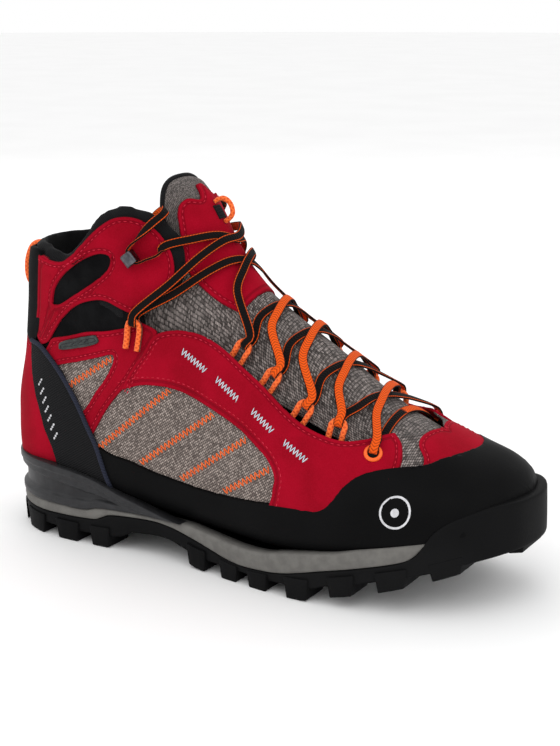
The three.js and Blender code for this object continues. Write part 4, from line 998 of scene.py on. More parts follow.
# ------------------------------------------------------------------ bottom unit
SOLE_PLAN = [(150, 7), (147.5, -9), (142, -20), (133, -31), (118, -42), (100, -49.5), (80, -53.5), (60, -54.8),
             (40, -54), (20, -51), (0, -47.5), (-20, -44), (-40, -42), (-60, -41.5), (-80, -41.5), (-100, -41.5),
             (-118, -39), (-132, -32), (-142, -22), (-148, -11), (-150, 0), (-148, 10.5), (-142, 21), (-132, 30),
             (-118, 36.5), (-100, 38.5), (-80, 38), (-60, 37), (-40, 36.5), (-20, 37), (0, 40), (20, 44.5),
             (40, 49.2), (60, 52.6), (80, 53.2), (100, 51.5), (118, 47), (133, 39.5), (142, 31), (147.5, 21)]
PLAN = smooth_curve(SOLE_PLAN, steps=9)
PLAN_OUT = unit(np.stack([np.roll(PLAN[:, 1], 1) - np.roll(PLAN[:, 1], -1),
                          np.roll(PLAN[:, 0], -1) - np.roll(PLAN[:, 0], 1)], -1))
PLAN_OUT *= np.sign((PLAN_OUT * PLAN).sum(-1).mean())
ground = line_of([(-152, 0), (-72, 0), (-66, 2), (-58, 9), (-36, 11), (-27, 8), (-20, 2), (-6, 0), (50, 0),
                  (65, 4), (80, 7.5), (96, 12), (114, 17.5), (131, 23), (152, 28)])
tread = line_of([(-152, 6.5), (-72, 6.5), (-60, 11), (-36, 12.5), (-22, 9), (-6, 6.5), (50, 6.5), (65, 10),
                 (80, 13.5), (96, 17.5), (114, 22), (131, 27), (152, 31.5)])
stripe_low = line_of([(-152, 13), (-87, 14), (-77, 16), (-70, 18.5), (-46, 20), (-32, 19), (-18, 16), (-5, 13),
                      (8, 10), (21, 9.5), (40, 11.5), (62, 17), (83, 22), (102, 27), (108, 30.5), (113, 36.8)])
stripe_top = line_of([(-152, 19.5), (-104, 19), (-87, 19), (-74, 21.5), (-26, 22.5), (-12, 21.5), (2, 20),
                      (15, 19), (28, 19.5), (40, 22), (51, 24), (68, 27), (83, 31), (102, 35), (113, 37.2)])
cradle_top = line_of([(-152, 41), (-135, 41.5), (-116, 41.5), (-104, 40.5), (-91, 39), (-78, 36), (-65, 31.5),
                      (-52, 28), (-40, 25), (-30, 23.2), (-20, 22.2)])
bumper_top = line_of([(102, 27), (108, 30.5), (111, 34.5), (114, 40), (118, 44.5), (123, 48), (129, 50.6),
                      (136, 53), (144, 54), (152, 54)])
LIP = 0.9                        # mm of rounding at a wall's edges
# x at which the toe bumper begins, and at which the stripe and the heel cradle end
BUMPER_FROM, STRIPE_TO, CRADLE_TO = 102, 112.9, -24
PLATE_THICKNESS = 3


def wall_band(steps, top, bottom, depth, bulge, rows, closed=True):
    """Band that stands on the sole outline: outer wall, top and inner wall in one closed ring."""
    f = 0.5 - 0.5 * np.cos(np.pi * np.arange(rows + 1) / rows)
    base, out = PLAN[steps], PLAN_OUT[steps]
    low, high = bottom(base[:, 0]), top(base[:, 0])
    high = np.maximum(high, low + 0.02)

    def at(i, j):
        outer = j <= rows
        share = np.where(outer, f[np.minimum(j, rows)], np.where(j == rows + 1, 1.0, 0.0))
        z = low[i] + (high[i] - low[i]) * share
        near = np.minimum(z - low[i], high[i] - z)
        r = np.minimum(LIP, (high[i] - low[i]) * 0.4)
        round_off = r - np.sqrt(np.maximum(r * r - np.maximum(r - near, 0) ** 2, 0))
        over = np.where(outer, bulge(base[i], share, z) - round_off, -depth)
        return np.concatenate([base[i] + out[i] * over[:, None], z[:, None]], -1)

    return close_ends(grid_shape(len(steps) - (not closed), rows + 3, at, wrap_u=closed, wrap_v=True))


def outsole_top(x):
    return np.where(x < BUMPER_FROM, stripe_low(x) - 0.25, bumper_top(x))


def outsole_bulge(base, share, z):
    """The wall draws in towards the tread, and the toe bumper stands out and leans in over the rand."""
    x = base[:, 0]
    lean = -np.clip(share, 0, 1) ** 1.3 * 1.4 * np.clip((x - 116) / 30, 0, 1)
    return lean - 0.7 * (1 - share) + 0.9 * np.clip((x - BUMPER_FROM) / 8, 0, 1)


def stripe_bulge(base, share, z):
    """The stripe is round, and goes inside the bumper at the toe."""
    return 0.35 - 0.9 * np.abs(share - 0.5) - 9.0 * (base[:, 0] > STRIPE_TO)


def cradle_relief(base, share, z):
    """Moulded heel cradle: a ledge round its top, a groove under it and a long leaf-shaped hollow."""
    x = base[:, 0]
    top, low = cradle_top(x), stripe_top(x)
    soft = lambda v: np.clip(v, 0, 1) ** 2 * (3 - 2 * np.clip(v, 0, 1))
    run = np.clip((x + 152) / 90, 0, 1)
    middle = low + (top - low) * 0.43 - 0.8 * run
    half = 0.3 * (top - low) * np.sqrt(np.clip(1 - run, 0, 1)) + 0.01
    hollow = -2.5 * soft((half - np.abs(z - middle)) / 0.8) * (x < -62)
    ledge = 0.8 * soft((z - (top - 4.2)) / 1.0)
    return 0.9 + ledge + hollow + 0.5 * share * np.clip((-x - 60) / 60, 0, 1)


def side_y(x, side):
    """The sole outline's y at this x, on one side."""
    half = PLAN[PLAN[:, 1] * -side > -12]
    half = half[np.argsort(half[:, 0])]
    keep = half[(half[:, 1] * -side >= 0) | (np.abs(half[:, 0]) > 146)]
    return np.interp(x, keep[:, 0], keep[:, 1])


def lug(bm, x0, x1, outer, inner, high, taper):
    """One tread lug: outer(x) and inner(x) give its sides, and high(x, j) its root."""
    made = bmesh.ops.create_cube(bm, size=1.0)["verts"]
    edges = list({e for v in made for e in v.link_edges})
    bmesh.ops.subdivide_edges(bm, edges=edges, cuts=2, use_grid_fill=True)
    block = [v for v in bm.verts if not v.tag]
    for v in block:
        i, j, k = v.co.x + 0.5, v.co.y + 0.5, v.co.z + 0.5
        shrink = 1 - taper * (1 - k)
        x = x0 + (x1 - x0) * (0.5 + (i - 0.5) * shrink)
        yo, yi = outer(x), inner(x)
        y = (yo + yi) / 2 + (yi - yo) * (j - 0.5) * (1 - taper * 0.5 * (1 - k))
        z = ground(x) + (high(x, j) - ground(x)) * k
        v.co = metres((x, y, z))
    faces = {f for v in block for f in v.link_faces}
    bmesh.ops.recalc_face_normals(bm, faces=list(faces))
    sharp = [e for f in faces for e in f.edges if len(e.link_faces) == 2 and e.calc_face_angle(0) > 0.7]
    round_edges(bm, list(set(sharp)), 0.7)
    for v in bm.verts:
        v.tag = True


EDGE_LUGS = [(-150, -139), (-133, -115), (-107, -91), (-84, -71), (-21, -8), (1, 13), (19, 32), (42, 56),
             (66, 80), (90, 105), (114, 128)]
CENTRE_LUGS = [(-128, -112, -11, 9), (-99, -85, -11, 9), (2, 20, -15, 13), (32, 50, -18, 16), (62, 78, -18, 16),
               (92, 108, -16, 16), (138, 147, -8, 20)]


def tread_plate():
    """The floor between the lugs."""
    plate = bmesh.new()
    plate.faces.new([plate.verts.new((x, y, 0)) for x, y in PLAN[::3] * 0.985])
    for x in np.arange(-147, 148, 6.0):
        slice_sheet(plate, x=x)
    for y in np.arange(-48, 49, 8.0):
        slice_sheet(plate, y=y)
    raised = extruded(plate, plate.faces[:])
    for v in plate.verts:
        v.co.z = tread(v.co.x)
    for v in raised:
        v.co.z = tread(v.co.x) + PLATE_THICKNESS
    set_places(plate.verts, [v.co[:] for v in plate.verts])
    bmesh.ops.recalc_face_normals(plate, faces=plate.faces[:])
    return mesh_of("plate", plate)


def mould_outsole():
    outsole = wall_band(np.arange(len(PLAN)), outsole_top, tread, 9, outsole_bulge, rows=14)
    outsole.from_mesh(tread_plate())
    for v in outsole.verts:
        v.tag = True
    height = lambda x, j: tread(x) + 0.8 + min(4.2, stripe_low(x) - tread(x) - 1.6) * (1 - j) ** 3
    for x0, x1 in EDGE_LUGS:
        at_end = x1 < -130 or x0 > 110
        for _, side in SIDES:
            outer = lambda x: side_y(x, side) - side * 0.9
            inner = lambda x: side_y(x, side) * 0.15 if at_end else side_y(x, side) + side * 19
            lug(outsole, x0, x1, outer, inner, height, 0.2)
    for x0, x1, ya, yb in CENTRE_LUGS:
        lug(outsole, x0, x1, lambda x: ya, lambda x: yb, lambda x, j: tread(x) + 0.8, 0.22)
    add_piece("lugged_outsole", outsole, "outsole", ["outsole"])


def mould_bottom():
    mould_outsole()
    stripe = wall_band(np.arange(len(PLAN)), lambda x: np.where(x < STRIPE_TO, stripe_top(x), 37.0),
                       lambda x: np.where(x < STRIPE_TO, stripe_low(x), 36.9), 7, stripe_bulge, rows=8)
    add_piece("midsole_stripe", stripe, "stripe", ["midsole"])
    rear = [k for k in range(len(PLAN)) if PLAN[k, 0] < CRADLE_TO]
    cradle = wall_band(rear, cradle_top, lambda x: stripe_top(x) + 0.2, 5, cradle_relief, rows=36,
                       closed=False)
    add_piece("heel_cradle_moulding", cradle, "cradle", ["heel_cradle"])


# ------------------------------------------------------------------ tongue
TONGUE_TABLE = np.array([(3.3, 0.1), (4.4, 0.135), (6, 0.15), (8, 0.168), (9.6, 0.178), (10.4, 0.165),
                         (11.2, 0.128), (12.2, 0.116), (15.6, 0.112)])
TONGUE_ROOT, TONGUE_TIP = 3.3, 14.7
TONGUE_OUT, TONGUE_IN = -5.0, -11.4
TONGUE_MIDDLE = (TONGUE_OUT + TONGUE_IN) / 2
TONGUE_LENGTH, TONGUE_HALF_WIDTH = 205, 34              # mm, for the weave's map


def tongue_edge(t):
    return turn_from_share(t, np.interp(t, TONGUE_TABLE[:, 0], TONGUE_TABLE[:, 1]))


def tongue_place(s, r):
    """(t, a) for a share s of the tongue's length and r across it, from -1 to 1."""
    t = TONGUE_ROOT + (TONGUE_TIP - 0.35 * r ** 2 - 1.5 * r ** 4 - TONGUE_ROOT) * s
    return t, r * tongue_edge(t)


def make_tongue_pad():
    around, along = 56, 110
    turn = turns(around)

    def at(i, j):
        s = np.clip(i / along, 0, 1)
        c, n = np.cos(turn[j]), np.sin(turn[j])
        r = signed_power(c, 0.72)
        t, a = tongue_place(s, r)
        end = np.clip(np.minimum(s / 0.03, (1 - s) / 0.03), 0, 1) ** 0.5
        thick = (TONGUE_OUT - TONGUE_IN) / 2
        ribs = 0.55 * np.sin(s * 2 * np.pi * 7.0) * (1 - r ** 2) * (n > 0) * (t < 9.6)
        return surface(t, a, TONGUE_MIDDLE + thick * end * signed_power(n, 0.55) + ribs)

    def uv(i, j):
        r = np.where(j == around, 1.0, signed_power(np.cos(turn[j % around]), 0.72))
        return np.stack([i / along * TONGUE_LENGTH, r * TONGUE_HALF_WIDTH], -1)

    bm = close_ends(grid_shape(along, around, at, wrap_v=True, uv=uv))
    pad = add_piece("tongue_pad_mesh", bm, "tongue_mesh", ["tongue_pad"], TONGUE)


def bind_tongue():
    """Tape round the tongue's upper half."""
    s = np.concatenate([np.linspace(0.5, 1.0, 50), np.ones(60), np.linspace(1.0, 0.5, 50)])
    r = np.concatenate([np.ones(50), np.linspace(1, -1, 60), -np.ones(50)])
    path, _, _, out = frames(*tongue_place(s, r), TONGUE_MIDDLE)
    keep = np.concatenate([[True], np.linalg.norm(np.diff(path, axis=0), axis=1) > 0.3])
    binding = swept(path[keep], out[keep], round_section(1.9, 12, 0.8))
    add_piece("tongue_binding", binding, "binding", body=TONGUE)


def cover_tongue():
    half = [(7.35, 0.085), (8.2, 0.10), (9.6, 0.104), (11, 0.1), (12.0, 0.097), (12.5, 0.092), (12.92, 0.08),
            (13.06, 0.058), (12.75, 0.038), (12.75, 0.027), (13.2, 0.016), (13.75, 0.008)]
    half = np.array([(t, turn_from_share(t, u * 0.98)) for t, u in half])
    full = np.vstack([half, [(13.86, 0.0)], half[::-1] * (1, -1), [(7.2, 0.0)]])
    loop = smooth_curve(full, corners=(0, 24))
    crease = lambda t, a: -3.4 + 0.7 * np.exp(-(a / 0.012) ** 2) * np.clip((t - 9) / 3, 0, 1)
    sew_panel("tongue_cover_suede", [loop], crease, -4.9, "suede", ["tongue_overlay"],
              body=TONGUE)
    red = bmesh.new()
    stitch(red, loop, [(0, 24)], 2.2, crease, 0, len(full))
    add_piece("tongue_cover_stitches", red, "red_thread", body=TONGUE)


def make_tongue():
    make_tongue_pad()
    bind_tongue()
    cover_tongue()


# ------------------------------------------------------------------ padded collar
def make_collar():
    edge = from_side(COLLAR_EDGE, LATERAL)
    foot = from_side(COLLAR_FOOT, LATERAL)
    mirror = lambda p: p * (1, -1) + (0, 1)
    top = [(14.42, 0.38), (14.62, 0.44), (14.7, 0.5), (14.62, 0.56), (14.42, 0.62)]
    low = [(13.35, 0.62), (13.3, 0.56), (13.3, 0.5), (13.3, 0.44), (13.35, 0.38)]
    ring = np.vstack([edge[::-1], top, mirror(edge), mirror(foot), low, foot[::-1]])
    bm = panel_mesh([smooth_curve(ring, steps=4)], -1.0, -7.0, rim=0)
    roll = add_piece("collar_roll", bm, "collar", ["collar_pad"])
    soften(roll, 2.6, 6)
    inflate(roll, 3.0, 1.6)
    finish_pad(roll)


def replace_mesh(piece):
    """The piece's modifiers are made part of its mesh."""
    graph = bpy.context.evaluated_depsgraph_get()
    mesh = bpy.data.meshes.new_from_object(piece.evaluated_get(graph))
    piece.modifiers.clear()
    piece.data = mesh


def soften(piece, voxel, passes):
    """Gives the pad an even mesh of voxel mm, and rounds it."""
    remesh = piece.modifiers.new("remesh", "REMESH")
    remesh.mode = "VOXEL"
    remesh.voxel_size = voxel * MM
    replace_mesh(piece)
    bm = bmesh.new()
    bm.from_mesh(piece.data)
    for _ in range(passes):
        bmesh.ops.smooth_vert(bm, verts=bm.verts[:], factor=0.5, use_axis_x=True, use_axis_y=True,
                              use_axis_z=True)
    bm.to_mesh(piece.data)
    bm.free()


def inflate(piece, pressure, cap):
    """Blows the pad up a little, as its foam does, and stops each point after cap mm."""
    before = np.array([v.co[:] for v in piece.data.vertices])
    cloth = piece.modifiers.new("cloth", "CLOTH")
    cloth.settings.use_pressure = True
    cloth.settings.uniform_pressure_force = pressure
    cloth.settings.effector_weights.gravity = 0
    cloth.settings.quality = 4
    cloth.collision_settings.use_self_collision = False
    for number in range(1, 21):
        scene.frame_set(number)
    replace_mesh(piece)
    scene.frame_set(1)
    after = np.array([v.co[:] for v in piece.data.vertices])
    move = after - before
    far = np.linalg.norm(move, axis=1, keepdims=True)
    after = before + move * np.minimum(1, cap * MM / np.maximum(far, 1e-9))
    piece.data.vertices.foreach_set("co", after.astype(np.float32).ravel())


def finish_pad(piece):
    smooth = piece.modifiers.new("smooth", "SUBSURF")
    smooth.levels = smooth.render_levels = 1
    replace_mesh(piece)
    piece.data.polygons.foreach_set("use_smooth", [True] * len(piece.data.polygons))


# ------------------------------------------------------------------ sewing on the upper
MESH_ZIGZAGS = (((-79, 53), (-33, 91)), ((-51, 50), (-5, 83)), ((-25, 46), (16, 74)), ((3, 45), (31, 62)),
                ((-97, 85), (-69, 103)))
BARTACKS = (((-27, 111), (-12, 103)), ((-5, 100), (9, 92)), ((18, 88), (31, 80)), ((38, 76), (51, 69)))


def stitch(bm, loop, parts, inset, out, first, points, **size):
    """Rows of stitches inside a panel's edge. parts are stretches between the points of its outline,
    and first is the number of the point at which its loop starts."""
    t, a = loop.T
    loop_way = np.sign((t * np.roll(a, -1) - np.roll(t, -1) * a).sum())
    p, _, _, n = frames(t[:1], a[:1])
    along_t = surface(t[:1] + 0.02, a[:1], 0) - p
    along_a = surface(t[:1], a[:1] + 0.002, 0) - p
    hand = np.sign((np.cross(along_t, along_a) * n).sum())
    for part in parts:
        i, j = (CURVE_STEPS * ((stop - first) % points) for stop in part)
        chain = loop[i:j + 1] if j > i else np.vstack([loop[i:], loop[:j + 1]])
        lift = lift_at(out, chain[:, 0], chain[:, 1])
        thread_run(bm, chain, lift, inset * loop_way * hand, **size)


def stitch_suede(side_name, side):
    red = bmesh.new()
    front = side_loop(FRONT_QUARTER, side, FRONT_CORNERS)
    for inset, parts in ((2.4, [(31, 10)]), (4.1, [(31, 34), (20, 31)]), (2.4, [(11, 14)])):
        stitch(red, front, parts, inset, OVERLAP_OUT, FRONT_CORNERS[0], len(FRONT_QUARTER))
    rear = side_loop(REAR_QUARTER, side, REAR_CORNERS)
    stitch(red, rear, [(1, 7), (11, 15), (17, 24)], 2.4, SUEDE_OUT, 0, len(REAR_QUARTER))
    cuff = side_loop(CUFF, side, CUFF_CORNERS)
    stitch(red, cuff, [(0, 20)], 2.4, cuff_height, 0, len(CUFF))
    insert = side_loop(UPPER_INSERT, side, (0,))
    stitch(red, insert, [(0, 9)], -2.4, cuff_height, 0, len(UPPER_INSERT))
    add_piece(f"suede_stitches_{side_name}", red, "red_thread")


def embroider(side_name, side):
    orange = bmesh.new()
    for start, end in MESH_ZIGZAGS:
        zigzag_run(orange, start, end, side, SHELL_OUT + 0.15, 4.0, 2.9, 0.7, 0.6)
    add_piece(f"mesh_zigzag_{side_name}", orange, "orange_thread")
    blue = bmesh.new()
    for start, end in BARTACKS:
        zigzag_run(blue, start, end, side, OVERLAP_OUT + 0.05, 3.8, 2.1, 0.6, 0.5)
    add_piece(f"quarter_bartacks_{side_name}", blue, "blue_thread")


def trim_strap(side_name, side):
    """Piping along the heel strap's edge, and a row of slanted bars."""
    edge = from_side(smooth_curve(STRAP[:8], closed=False), side)
    p, _, _, out = frames(edge[:, 0], edge[:, 1], STRAP_OUT - 0.2)
    roll = swept(p, out, round_section(1.25, 10))
    add_piece(f"strap_piping_{side_name}", roll, "piping")
    bars = bmesh.new()
    for f in np.linspace(0.18, 0.62, 7):
        x, z = -119.5 + 26 * f ** 1.2, 96 - 62 * f
        zigzag_run(bars, (x - 1.2, z - 2.0), (x + 1.6, z + 2.2), side, STRAP_OUT - 0.05, 0.0, 9.0, 1.5, 0.35)
    add_piece(f"strap_bars_{side_name}", bars, "badge")


def sew_label():
    """Side plate with a raised rim and three plain ridges."""
    label = side_loop(LABEL, LATERAL, (0,))
    height = 2.0
    sew_panel("side_label_plate", [label], height, 0.4, "label", ["side_label"], rim=0.5)
    rim = bmesh.new()
    stitch(rim, label, [(0, 7)], 1.5, height, 0, len(LABEL), pitch=0.9, length=1.3, width=0.5, height=0.4)
    for f in (0.25, 0.5, 0.75):
        x, z = 16 * f, 3.8 * f
        zigzag_run(rim, (-98 + x, 106.6 + z), (-95 + x, 108.6 + z), LATERAL, height, 0.0, 9, 0.9, 0.5)
    add_piece("side_label_relief", rim, "cradle")


def print_badge():
    """Plain ring and dot on the toe."""
    x, z = BADGE_AT
    circle = lambda r: from_side([(x + r * math.cos(k), z + r * math.sin(k)) for k in turns(28)])
    for part, loops in (("ring", [circle(BADGE_SIZE), circle(BADGE_SIZE - 0.9)]), ("dot", [circle(1.9)])):
        sew_panel(f"toe_badge_{part}", loops, RAND_OUT + 0.25, RAND_OUT - 0.5, "badge",
                  rim=0.1)


def sew_stitches():
    for side_name, side in SIDES:
        stitch_suede(side_name, side)
        embroider(side_name, side)
        trim_strap(side_name, side)
    sew_label()
    print_badge()


# ------------------------------------------------------------------ metal, cords and lace
throat_line = line_of(THROAT[:-2] + [(76, 79.5), (86, 80), (96, 78.5), (104, 79.5), (112, 84)])
SKIN_TOP, LACE_HALF, LOOP_RADIUS, CORD_RADIUS = 0.9, 0.65, 1.1, 1.55
LOOP_REACH, LOOP_HALF_WIDTH = 9.5, 3.4
LOOPS_AT, EYELET_AT, HOOK_AT = (61, 41, 21, 2), (81, 74), (-58, 156)
ANKLE_FOOT, ANKLE_BIGHT = (-56, 109), (-54.5, 123.5)
HOOK_BACK, HOOK_FRONT, HOOK_TOP, HOOK_HALF_WIDTH = -5.27, 3.23, 5.7, 3.3
EYELET_RING = [(2.7, 0.35), (2.9, 0.95), (3.4, 1.25), (3.9, 1.1), (4.4, 0.5), (4.5, 0.0), (3.6, -0.6),
               (2.75, -0.5)]
EYELET_HOLE = [(0, 0.55), (2.0, 0.5), (3.0, 0.3), (3.0, -0.2), (0, -0.2)]
RIVET_DOME = [(0, 1.1), (0.8, 1.0), (1.5, 0.65), (1.85, 0.1), (1.85, -0.4), (0, -0.4)]


class Seat:
    """A place on the upper with its directions: across to the ridge, along to the toe, and out."""

    def __init__(self, t, a, p, across, along, out):
        self.t, self.a, self.p, self.across, self.along, self.out = t, a, p, across, along, out

    def at(self, a, b, n):
        return self.p + self.across * a + self.along * b + self.out * n


def seat_on(t, a, d=0.0):
    p, up, fore, out = (v[0] for v in frames(np.array([t]), np.array([a]), d))
    return Seat(t, a, p, up, fore, out)


def side_seat(x, z, side):
    return seat_on(*from_side([(x, z)], side)[0])


def throat_seat(x, side):
    """Seat on the throat's edge, its along laid on the edge."""
    seat = side_seat(x, float(throat_line(x)), side)
    ends = from_side([(x + 2, float(throat_line(x + 2))), (x - 2, float(throat_line(x - 2)))], side)
    step = np.subtract(*surface(ends[:, 0], ends[:, 1], 0.0))
    seat.along = unit(step - seat.out * (step @ seat.out))
    across = np.cross(seat.along, seat.out)
    seat.across = across * np.sign(across @ seat.across)
    return seat


def ankle_seat(side):
    """Seat at the ankle loop's bight, its across laid along the loop."""
    foot, bight = side_seat(*ANKLE_FOOT, side), side_seat(*ANKLE_BIGHT, side)
    across = unit(bight.p - foot.p)
    out = unit(bight.out - across * (bight.out @ across))
    along = np.cross(out, across)
    along *= np.sign(along @ bight.along)
    seat = Seat(bight.t, bight.a, bight.p, across, along, out)
    seat.length = np.linalg.norm(bight.p - foot.p)
    return seat


def cord_loop(name, half, top, seat, nodes):
    """Loop of cord through the stops of one leg, its top and the other leg."""
    stops = half + [top] + [(a, -b, n) for a, b, n in half[::-1]]
    path = resample([seat.at(*s) for s in stops], 0.7)
    cord = swept(path, np.broadcast_to(seat.out, path.shape), round_section(CORD_RADIUS, 12))
    add_piece(name, cord, "pull_cord", nodes)


def turned(profile, seat, lift, steps=40):
    """A profile of (radius, height) turned about the seat's outward line."""
    bm = bmesh.new()
    verts = [bm.verts.new((r * MM, 0, h * MM)) for r, h in profile]
    closed = profile[0][0] > 0 and profile[-1][0] > 0
    edges = [bm.edges.new(pair) for pair in zip(verts, verts[1:])]
    if closed:
        edges.append(bm.edges.new((verts[-1], verts[0])))
    bmesh.ops.spin(bm, geom=verts + edges, cent=(0, 0, 0), axis=(0, 0, 1), dvec=(0, 0, 0), angle=2 * math.pi,
                   steps=steps, use_merge=True, use_duplicate=False)
    bmesh.ops.remove_doubles(bm, verts=bm.verts[:], dist=1e-6)
    stand_on(bm, seat, lift)
    bmesh.ops.recalc_face_normals(bm, faces=bm.faces[:])
    return bm


def stand_on(bm, seat, lift):
    """Moves a shape from the origin to its seat."""
    side = np.cross(seat.out, seat.across)
    turn = Matrix(np.stack([seat.across, side, seat.out], -1).tolist()).to_4x4()
    place = Matrix.Translation(Vector(metres(seat.at(0, 0, lift))))
    bmesh.ops.transform(bm, matrix=place @ turn, verts=bm.verts[:])


def fit_loops(side_name, side):
    """The four loops of the throat and the long loop at the ankle."""
    w, r = LOOP_HALF_WIDTH, LOOP_REACH
    half = [(-6, w, -3.5), (1.6, w, -3.1), (4.4, w, -1.7), (r - 2.2, w, -0.8), (r - 0.2, w * 0.6, -0.6)]
    for number, x in enumerate(LOOPS_AT, 1):
        cord_loop(f"lace_loop_cord_{side_name}_{number}", half, (r, 0, -0.6), throat_seat(x, side),
                  [f"lace_loop_{side_name}_{number}"])
    seat, low = ankle_seat(side), SKIN_TOP + LOOP_RADIUS + 0.2
    half = [(-seat.length, w, low), (-seat.length + 5, w, low), (-3, w, low + 0.9),
            (-0.4, w * 0.66, low + 1.5)]
    cord_loop(f"ankle_loop_cord_{side_name}", half, (0, 0, low + 1.6), seat, [f"ankle_loop_{side_name}"])


def fit_eyelet(side_name, side):
    seat = side_seat(*EYELET_AT, side)
    ring, hole = (turned(profile, seat, SKIN_TOP + 0.15) for profile in (EYELET_RING, EYELET_HOLE))
    add_piece(f"eyelet_ring_{side_name}", ring, "eyelet", [f"eyelet_{side_name}"])
    add_piece(f"eyelet_hole_{side_name}", hole, "softshell")


def fit_hook(side_name, side):
    """Speed hook of bent sheet, open to the back, and its rivet."""
    seat = side_seat(*HOOK_AT, side)
    back, front, top = HOOK_BACK, HOOK_FRONT, HOOK_TOP
    shape = [(back, 0), (front - 0.6, 0), (front, 0.7), (front, top + 0.6), (front - 0.9, top + 1.4),
             (back + 3.6, top + 1.4), (back + 2.4, top + 0.6), (back + 2.6, top - 0.4), (back + 3.6, top),
             (front - 1.4, top), (front - 1.4, 1.4), (back, 1.4)]
    hook = bmesh.new()
    face = hook.faces.new([hook.verts.new((x * MM, -HOOK_HALF_WIDTH * MM, z * MM)) for x, z in shape])
    bmesh.ops.translate(hook, vec=(0, 2 * HOOK_HALF_WIDTH * MM, 0), verts=extruded(hook, [face]))
    bmesh.ops.recalc_face_normals(hook, faces=hook.faces[:])
    round_edges(hook, hook.edges[:], 0.42, segments=3)
    stand_on(hook, seat, SKIN_TOP + 0.35)
    bmesh.ops.recalc_face_normals(hook, faces=hook.faces[:])
    add_piece(f"speed_hook_{side_name}", hook, "hook", [f"hook_{side_name}"])
    rivet_seat = Seat(0, 0, seat.at(back + 2.3, 0, 0), seat.across, seat.along, seat.out)
    rivet = turned(RIVET_DOME, rivet_seat, SKIN_TOP + 2.05, 24)
    add_piece(f"speed_hook_rivet_{side_name}", rivet, "hook", [f"hook_rivet_{side_name}"])


def fit_hardware():
    for side_name, side in SIDES:
        fit_loops(side_name, side)
        fit_eyelet(side_name, side)
        fit_hook(side_name, side)


def pull_loop(name, t0, t1, a, d, reach, radius, nodes, body):
    """Loop of cord that stands out from the boot between two places on one line."""
    foot, head = seat_on(t0, a, d), seat_on(t1, a, d)
    axis = head.p - foot.p
    out = foot.out + head.out
    out = unit(out - axis * (out @ axis) / (axis @ axis))
    stops = [(0, 0), (0, 0.35), (0.12, 0.8), (0.5, 1), (0.88, 0.8), (1, 0.35), (1, 0)]
    path = resample([foot.p + axis * s + out * o * reach for s, o in stops], 0.6)
    way = np.broadcast_to(unit(np.cross(axis, out)), path.shape)
    add_piece(name, swept(path, way, round_section(radius, 12)), "pull_cord", nodes, body)


def seat_keeper(name, t0, t1, a, half, out, back, body):
    """Patch of tape that holds a pull loop."""
    middle = (t0 + t1) / 2
    loop = [(t0, a - half), (t0, a), (t0, a + half), (middle, a + half), (t1, a + half), (t1, a),
            (t1, a - half), (middle, a - half)]
    sew_panel(name, [smooth_curve(loop, corners=(0, 2, 4, 6))], out, back, "binding",
              body=body)


# ------------------------------------------------------------------ lace
LACE_UNDER = -3.25                       # offset of the straight bar between the eyelets
EYELET_STOPS = ((3.4, -2.95), (0.9, -2.55), (0, -1.2), (0, 1.2), (0.6, 2.8), (2.6, 3.2), (7, 2.9))
HOOK_NECK, HOOK_LEVEL, HOOK_SWEEP = 1.83, 4.8, 4.25
END_STOPS = ((-49, 171.5, 4.2), (-43.6, 177.4, 2.2), (-42.6, 181.2, -3.6), (-46.5, 178.5, -9.6),
             (-51, 169, -10.4), (-53.5, 160, -10.4))
END_WAY = (0.82, 0, -0.57)
STRAND_SHARES = (-0.75, -0.5, -0.25, 0, 0.25, 0.5, 0.75)
# Which strands of each half, from the eyelets up, have their black face outside
LATERAL_BLACK, MEDIAL_BLACK = [0, 1, 0, 1, 1, 1, 1], [1, 0, 1, 0, 1, 1, 1]


def strand(first, last, t_mid, over, rise):
    """Stops of a strand from one seat across the ridge to another. rise lifts each stop in turn."""
    middle = (0.8 if over else -1.25) + (1.1 if t_mid > 7.4 else 0) - 0.9
    made = []
    for share, lift in zip(STRAND_SHARES, rise):
        if lift is not None:
            end = first if share < 0 else last
            seat = seat_on(t_mid + (end.t - t_mid) * abs(share), end.a * abs(share), middle + lift)
            made.append((seat.p, seat.along))
    return made


def loop_turn(seat, bight, n0):
    """Stops of the lace round the bight of a cord loop."""
    reach = LOOP_RADIUS + LACE_HALF + 0.5
    stops = [(bight + 3.4, n0 - reach - 0.15), (bight + 0.3, n0 - reach), (bight - 1.7, n0 - reach * 0.75),
             (bight - reach - 0.05, n0), (bight - 1.7, n0 + reach * 0.75), (bight + 0.3, n0 + reach),
             (bight + 3.4, n0 + reach - 0.3)]
    return [(seat.at(a, 0, n), seat.along) for a, n in stops]


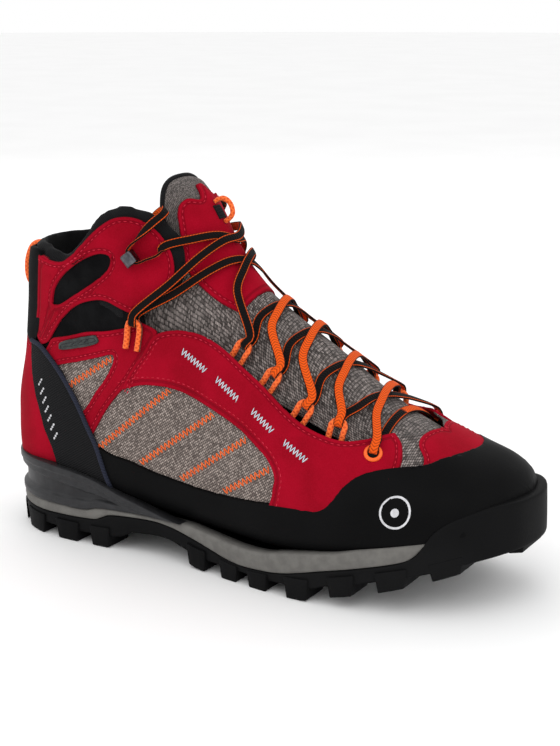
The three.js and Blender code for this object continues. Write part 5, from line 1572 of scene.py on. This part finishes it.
def half_lace(side, over):
    """Stops of the lace from beside its middle to one end, and the places where it turns over."""
    eyelet = side_seat(*EYELET_AT, side)
    made, flips = [], []
    for share in (0.25, 0.5, 0.7):
        seat = seat_on(eyelet.t, eyelet.a * share, LACE_UNDER)
        made.append((seat.p, seat.along))
    made += [(eyelet.at(a, 0, n), eyelet.along) for a, n in EYELET_STOPS]

    def turn_round(seat, bight, n0):
        turn = loop_turn(seat, bight, n0)
        flips.append(turn[3][0])
        made.extend(turn)

    start = eyelet
    for i, x in enumerate(LOOPS_AT):
        side = other(side)
        seat = throat_seat(x, side)
        made += strand(start, seat, (start.t + seat.t) / 2, (i % 2 == 0) == over,
                       (None, 1.8, 0.4, 0, 0.3, 0.6, None))
        turn_round(seat, LOOP_REACH, -0.6)
        start = seat
    side = other(side)
    ankle = ankle_seat(side)
    made += strand(start, ankle, 8.15, over, (None, 1.8, 0.4, 0, 0.4, 1.4, 2.4))
    turn_round(ankle, 0, 3.95)
    side = other(side)
    hook = side_seat(*HOOK_AT, side)
    made += strand(ankle, hook, 9.35, not over, (4, 2.6, 0.8, 0, 0.8, 2.4, 4))
    neck, w = HOOK_NECK, HOOK_SWEEP
    for a, b in ((neck + 12, w + 3), (neck + 5, w + 1.2), (neck + 1.2, w + 0.3), (neck - 0.8, w - 0.9),
                 (neck - 1.25, 0), (neck - 0.8, 0.9 - w), (neck + 1.2, -w - 0.3), (neck + 4.5, -w - 0.8)):
        made.append((hook.at(a, b, HOOK_LEVEL), hook.out))
    flips.append(made[-4][0])
    for x, z, d in END_STOPS:
        t, a = from_side([(x, z)], side)[0]
        made.append((surface(t, a, d), np.array(END_WAY)))
    return made, flips


def other(side):
    return MEDIAL if side == LATERAL else LATERAL


def thread_lace():
    """One lace from end to end, with a flat section and the face that each strand shows."""
    bar = seat_on(side_seat(*EYELET_AT, LATERAL).t, 0.0005, LACE_UNDER)
    lateral, flips = half_lace(LATERAL, True)
    medial, more_flips = half_lace(MEDIAL, False)
    stops = lateral[::-1] + [(bar.p, bar.along)] + medial
    ways = [np.asarray(stops[0][1])]
    for _, way in stops[1:]:
        ways.append(way if way @ ways[-1] >= 0 else -way)
    path, wide = resample([p for p, _ in stops], 1.5, ways)
    turn = turns(16)
    flat = np.stack([2.35 * signed_power(np.cos(turn), 0.7), 0.7 * signed_power(np.sin(turn), 0.6)], -1)
    at = sorted(int(np.argmin(((path - p) ** 2).sum(-1))) for p in flips + more_flips)
    steps = np.arange(len(path))
    passed = np.searchsorted(at, steps)
    lateral_half = steps < (at[5] + at[6]) / 2
    number = np.where(lateral_half, 6 - passed, passed - 6)
    black = np.where(lateral_half, np.array(LATERAL_BLACK)[number], np.array(MEDIAL_BLACK)[number])
    face = ((number + 1) % 2 + black) % 2 * 0.5
    add_piece("boot_lace", swept(path, wide, flat, face), "lace", ["lace"])


# ------------------------------------------------------------------ the boot
sew_upper()
sew_stitches()
mould_bottom()
make_tongue()
make_collar()
fit_hardware()
thread_lace()
pull_loop("heel_pull_cord", 13.25, 14.35, 0.5, 1.25, 13, 1.8, ["heel_pull_loop"], HEEL_LOOP)
pull_loop("tongue_pull_cord", 10.6, 12.1, 0.0, -2.55, 7.5, 1.3, ["tongue_pull_loop"], TONGUE_LOOP)
seat_keeper("tongue_loop_keeper", 10.85, 11.85, 0.0, 0.014, -2.5, -3.6, TONGUE)
seat_keeper("heel_loop_keeper", 13.42, 14.2, 0.5, 0.02, 2.5, 0.9, BOOT)

# Solids that stay as they are and get only a finish
PLAIN_NODES = {"vamp_lining": "lining", "heel_lining": "lining", "quarter_lining_lateral": "lining",
               "quarter_lining_medial": "lining", "lasting_board": "board", "footbed": "footbed"}
for node, finish in PLAIN_NODES.items():
    for place in bpy.data.objects[node].material_slots:
        place.material = FINISH[finish]
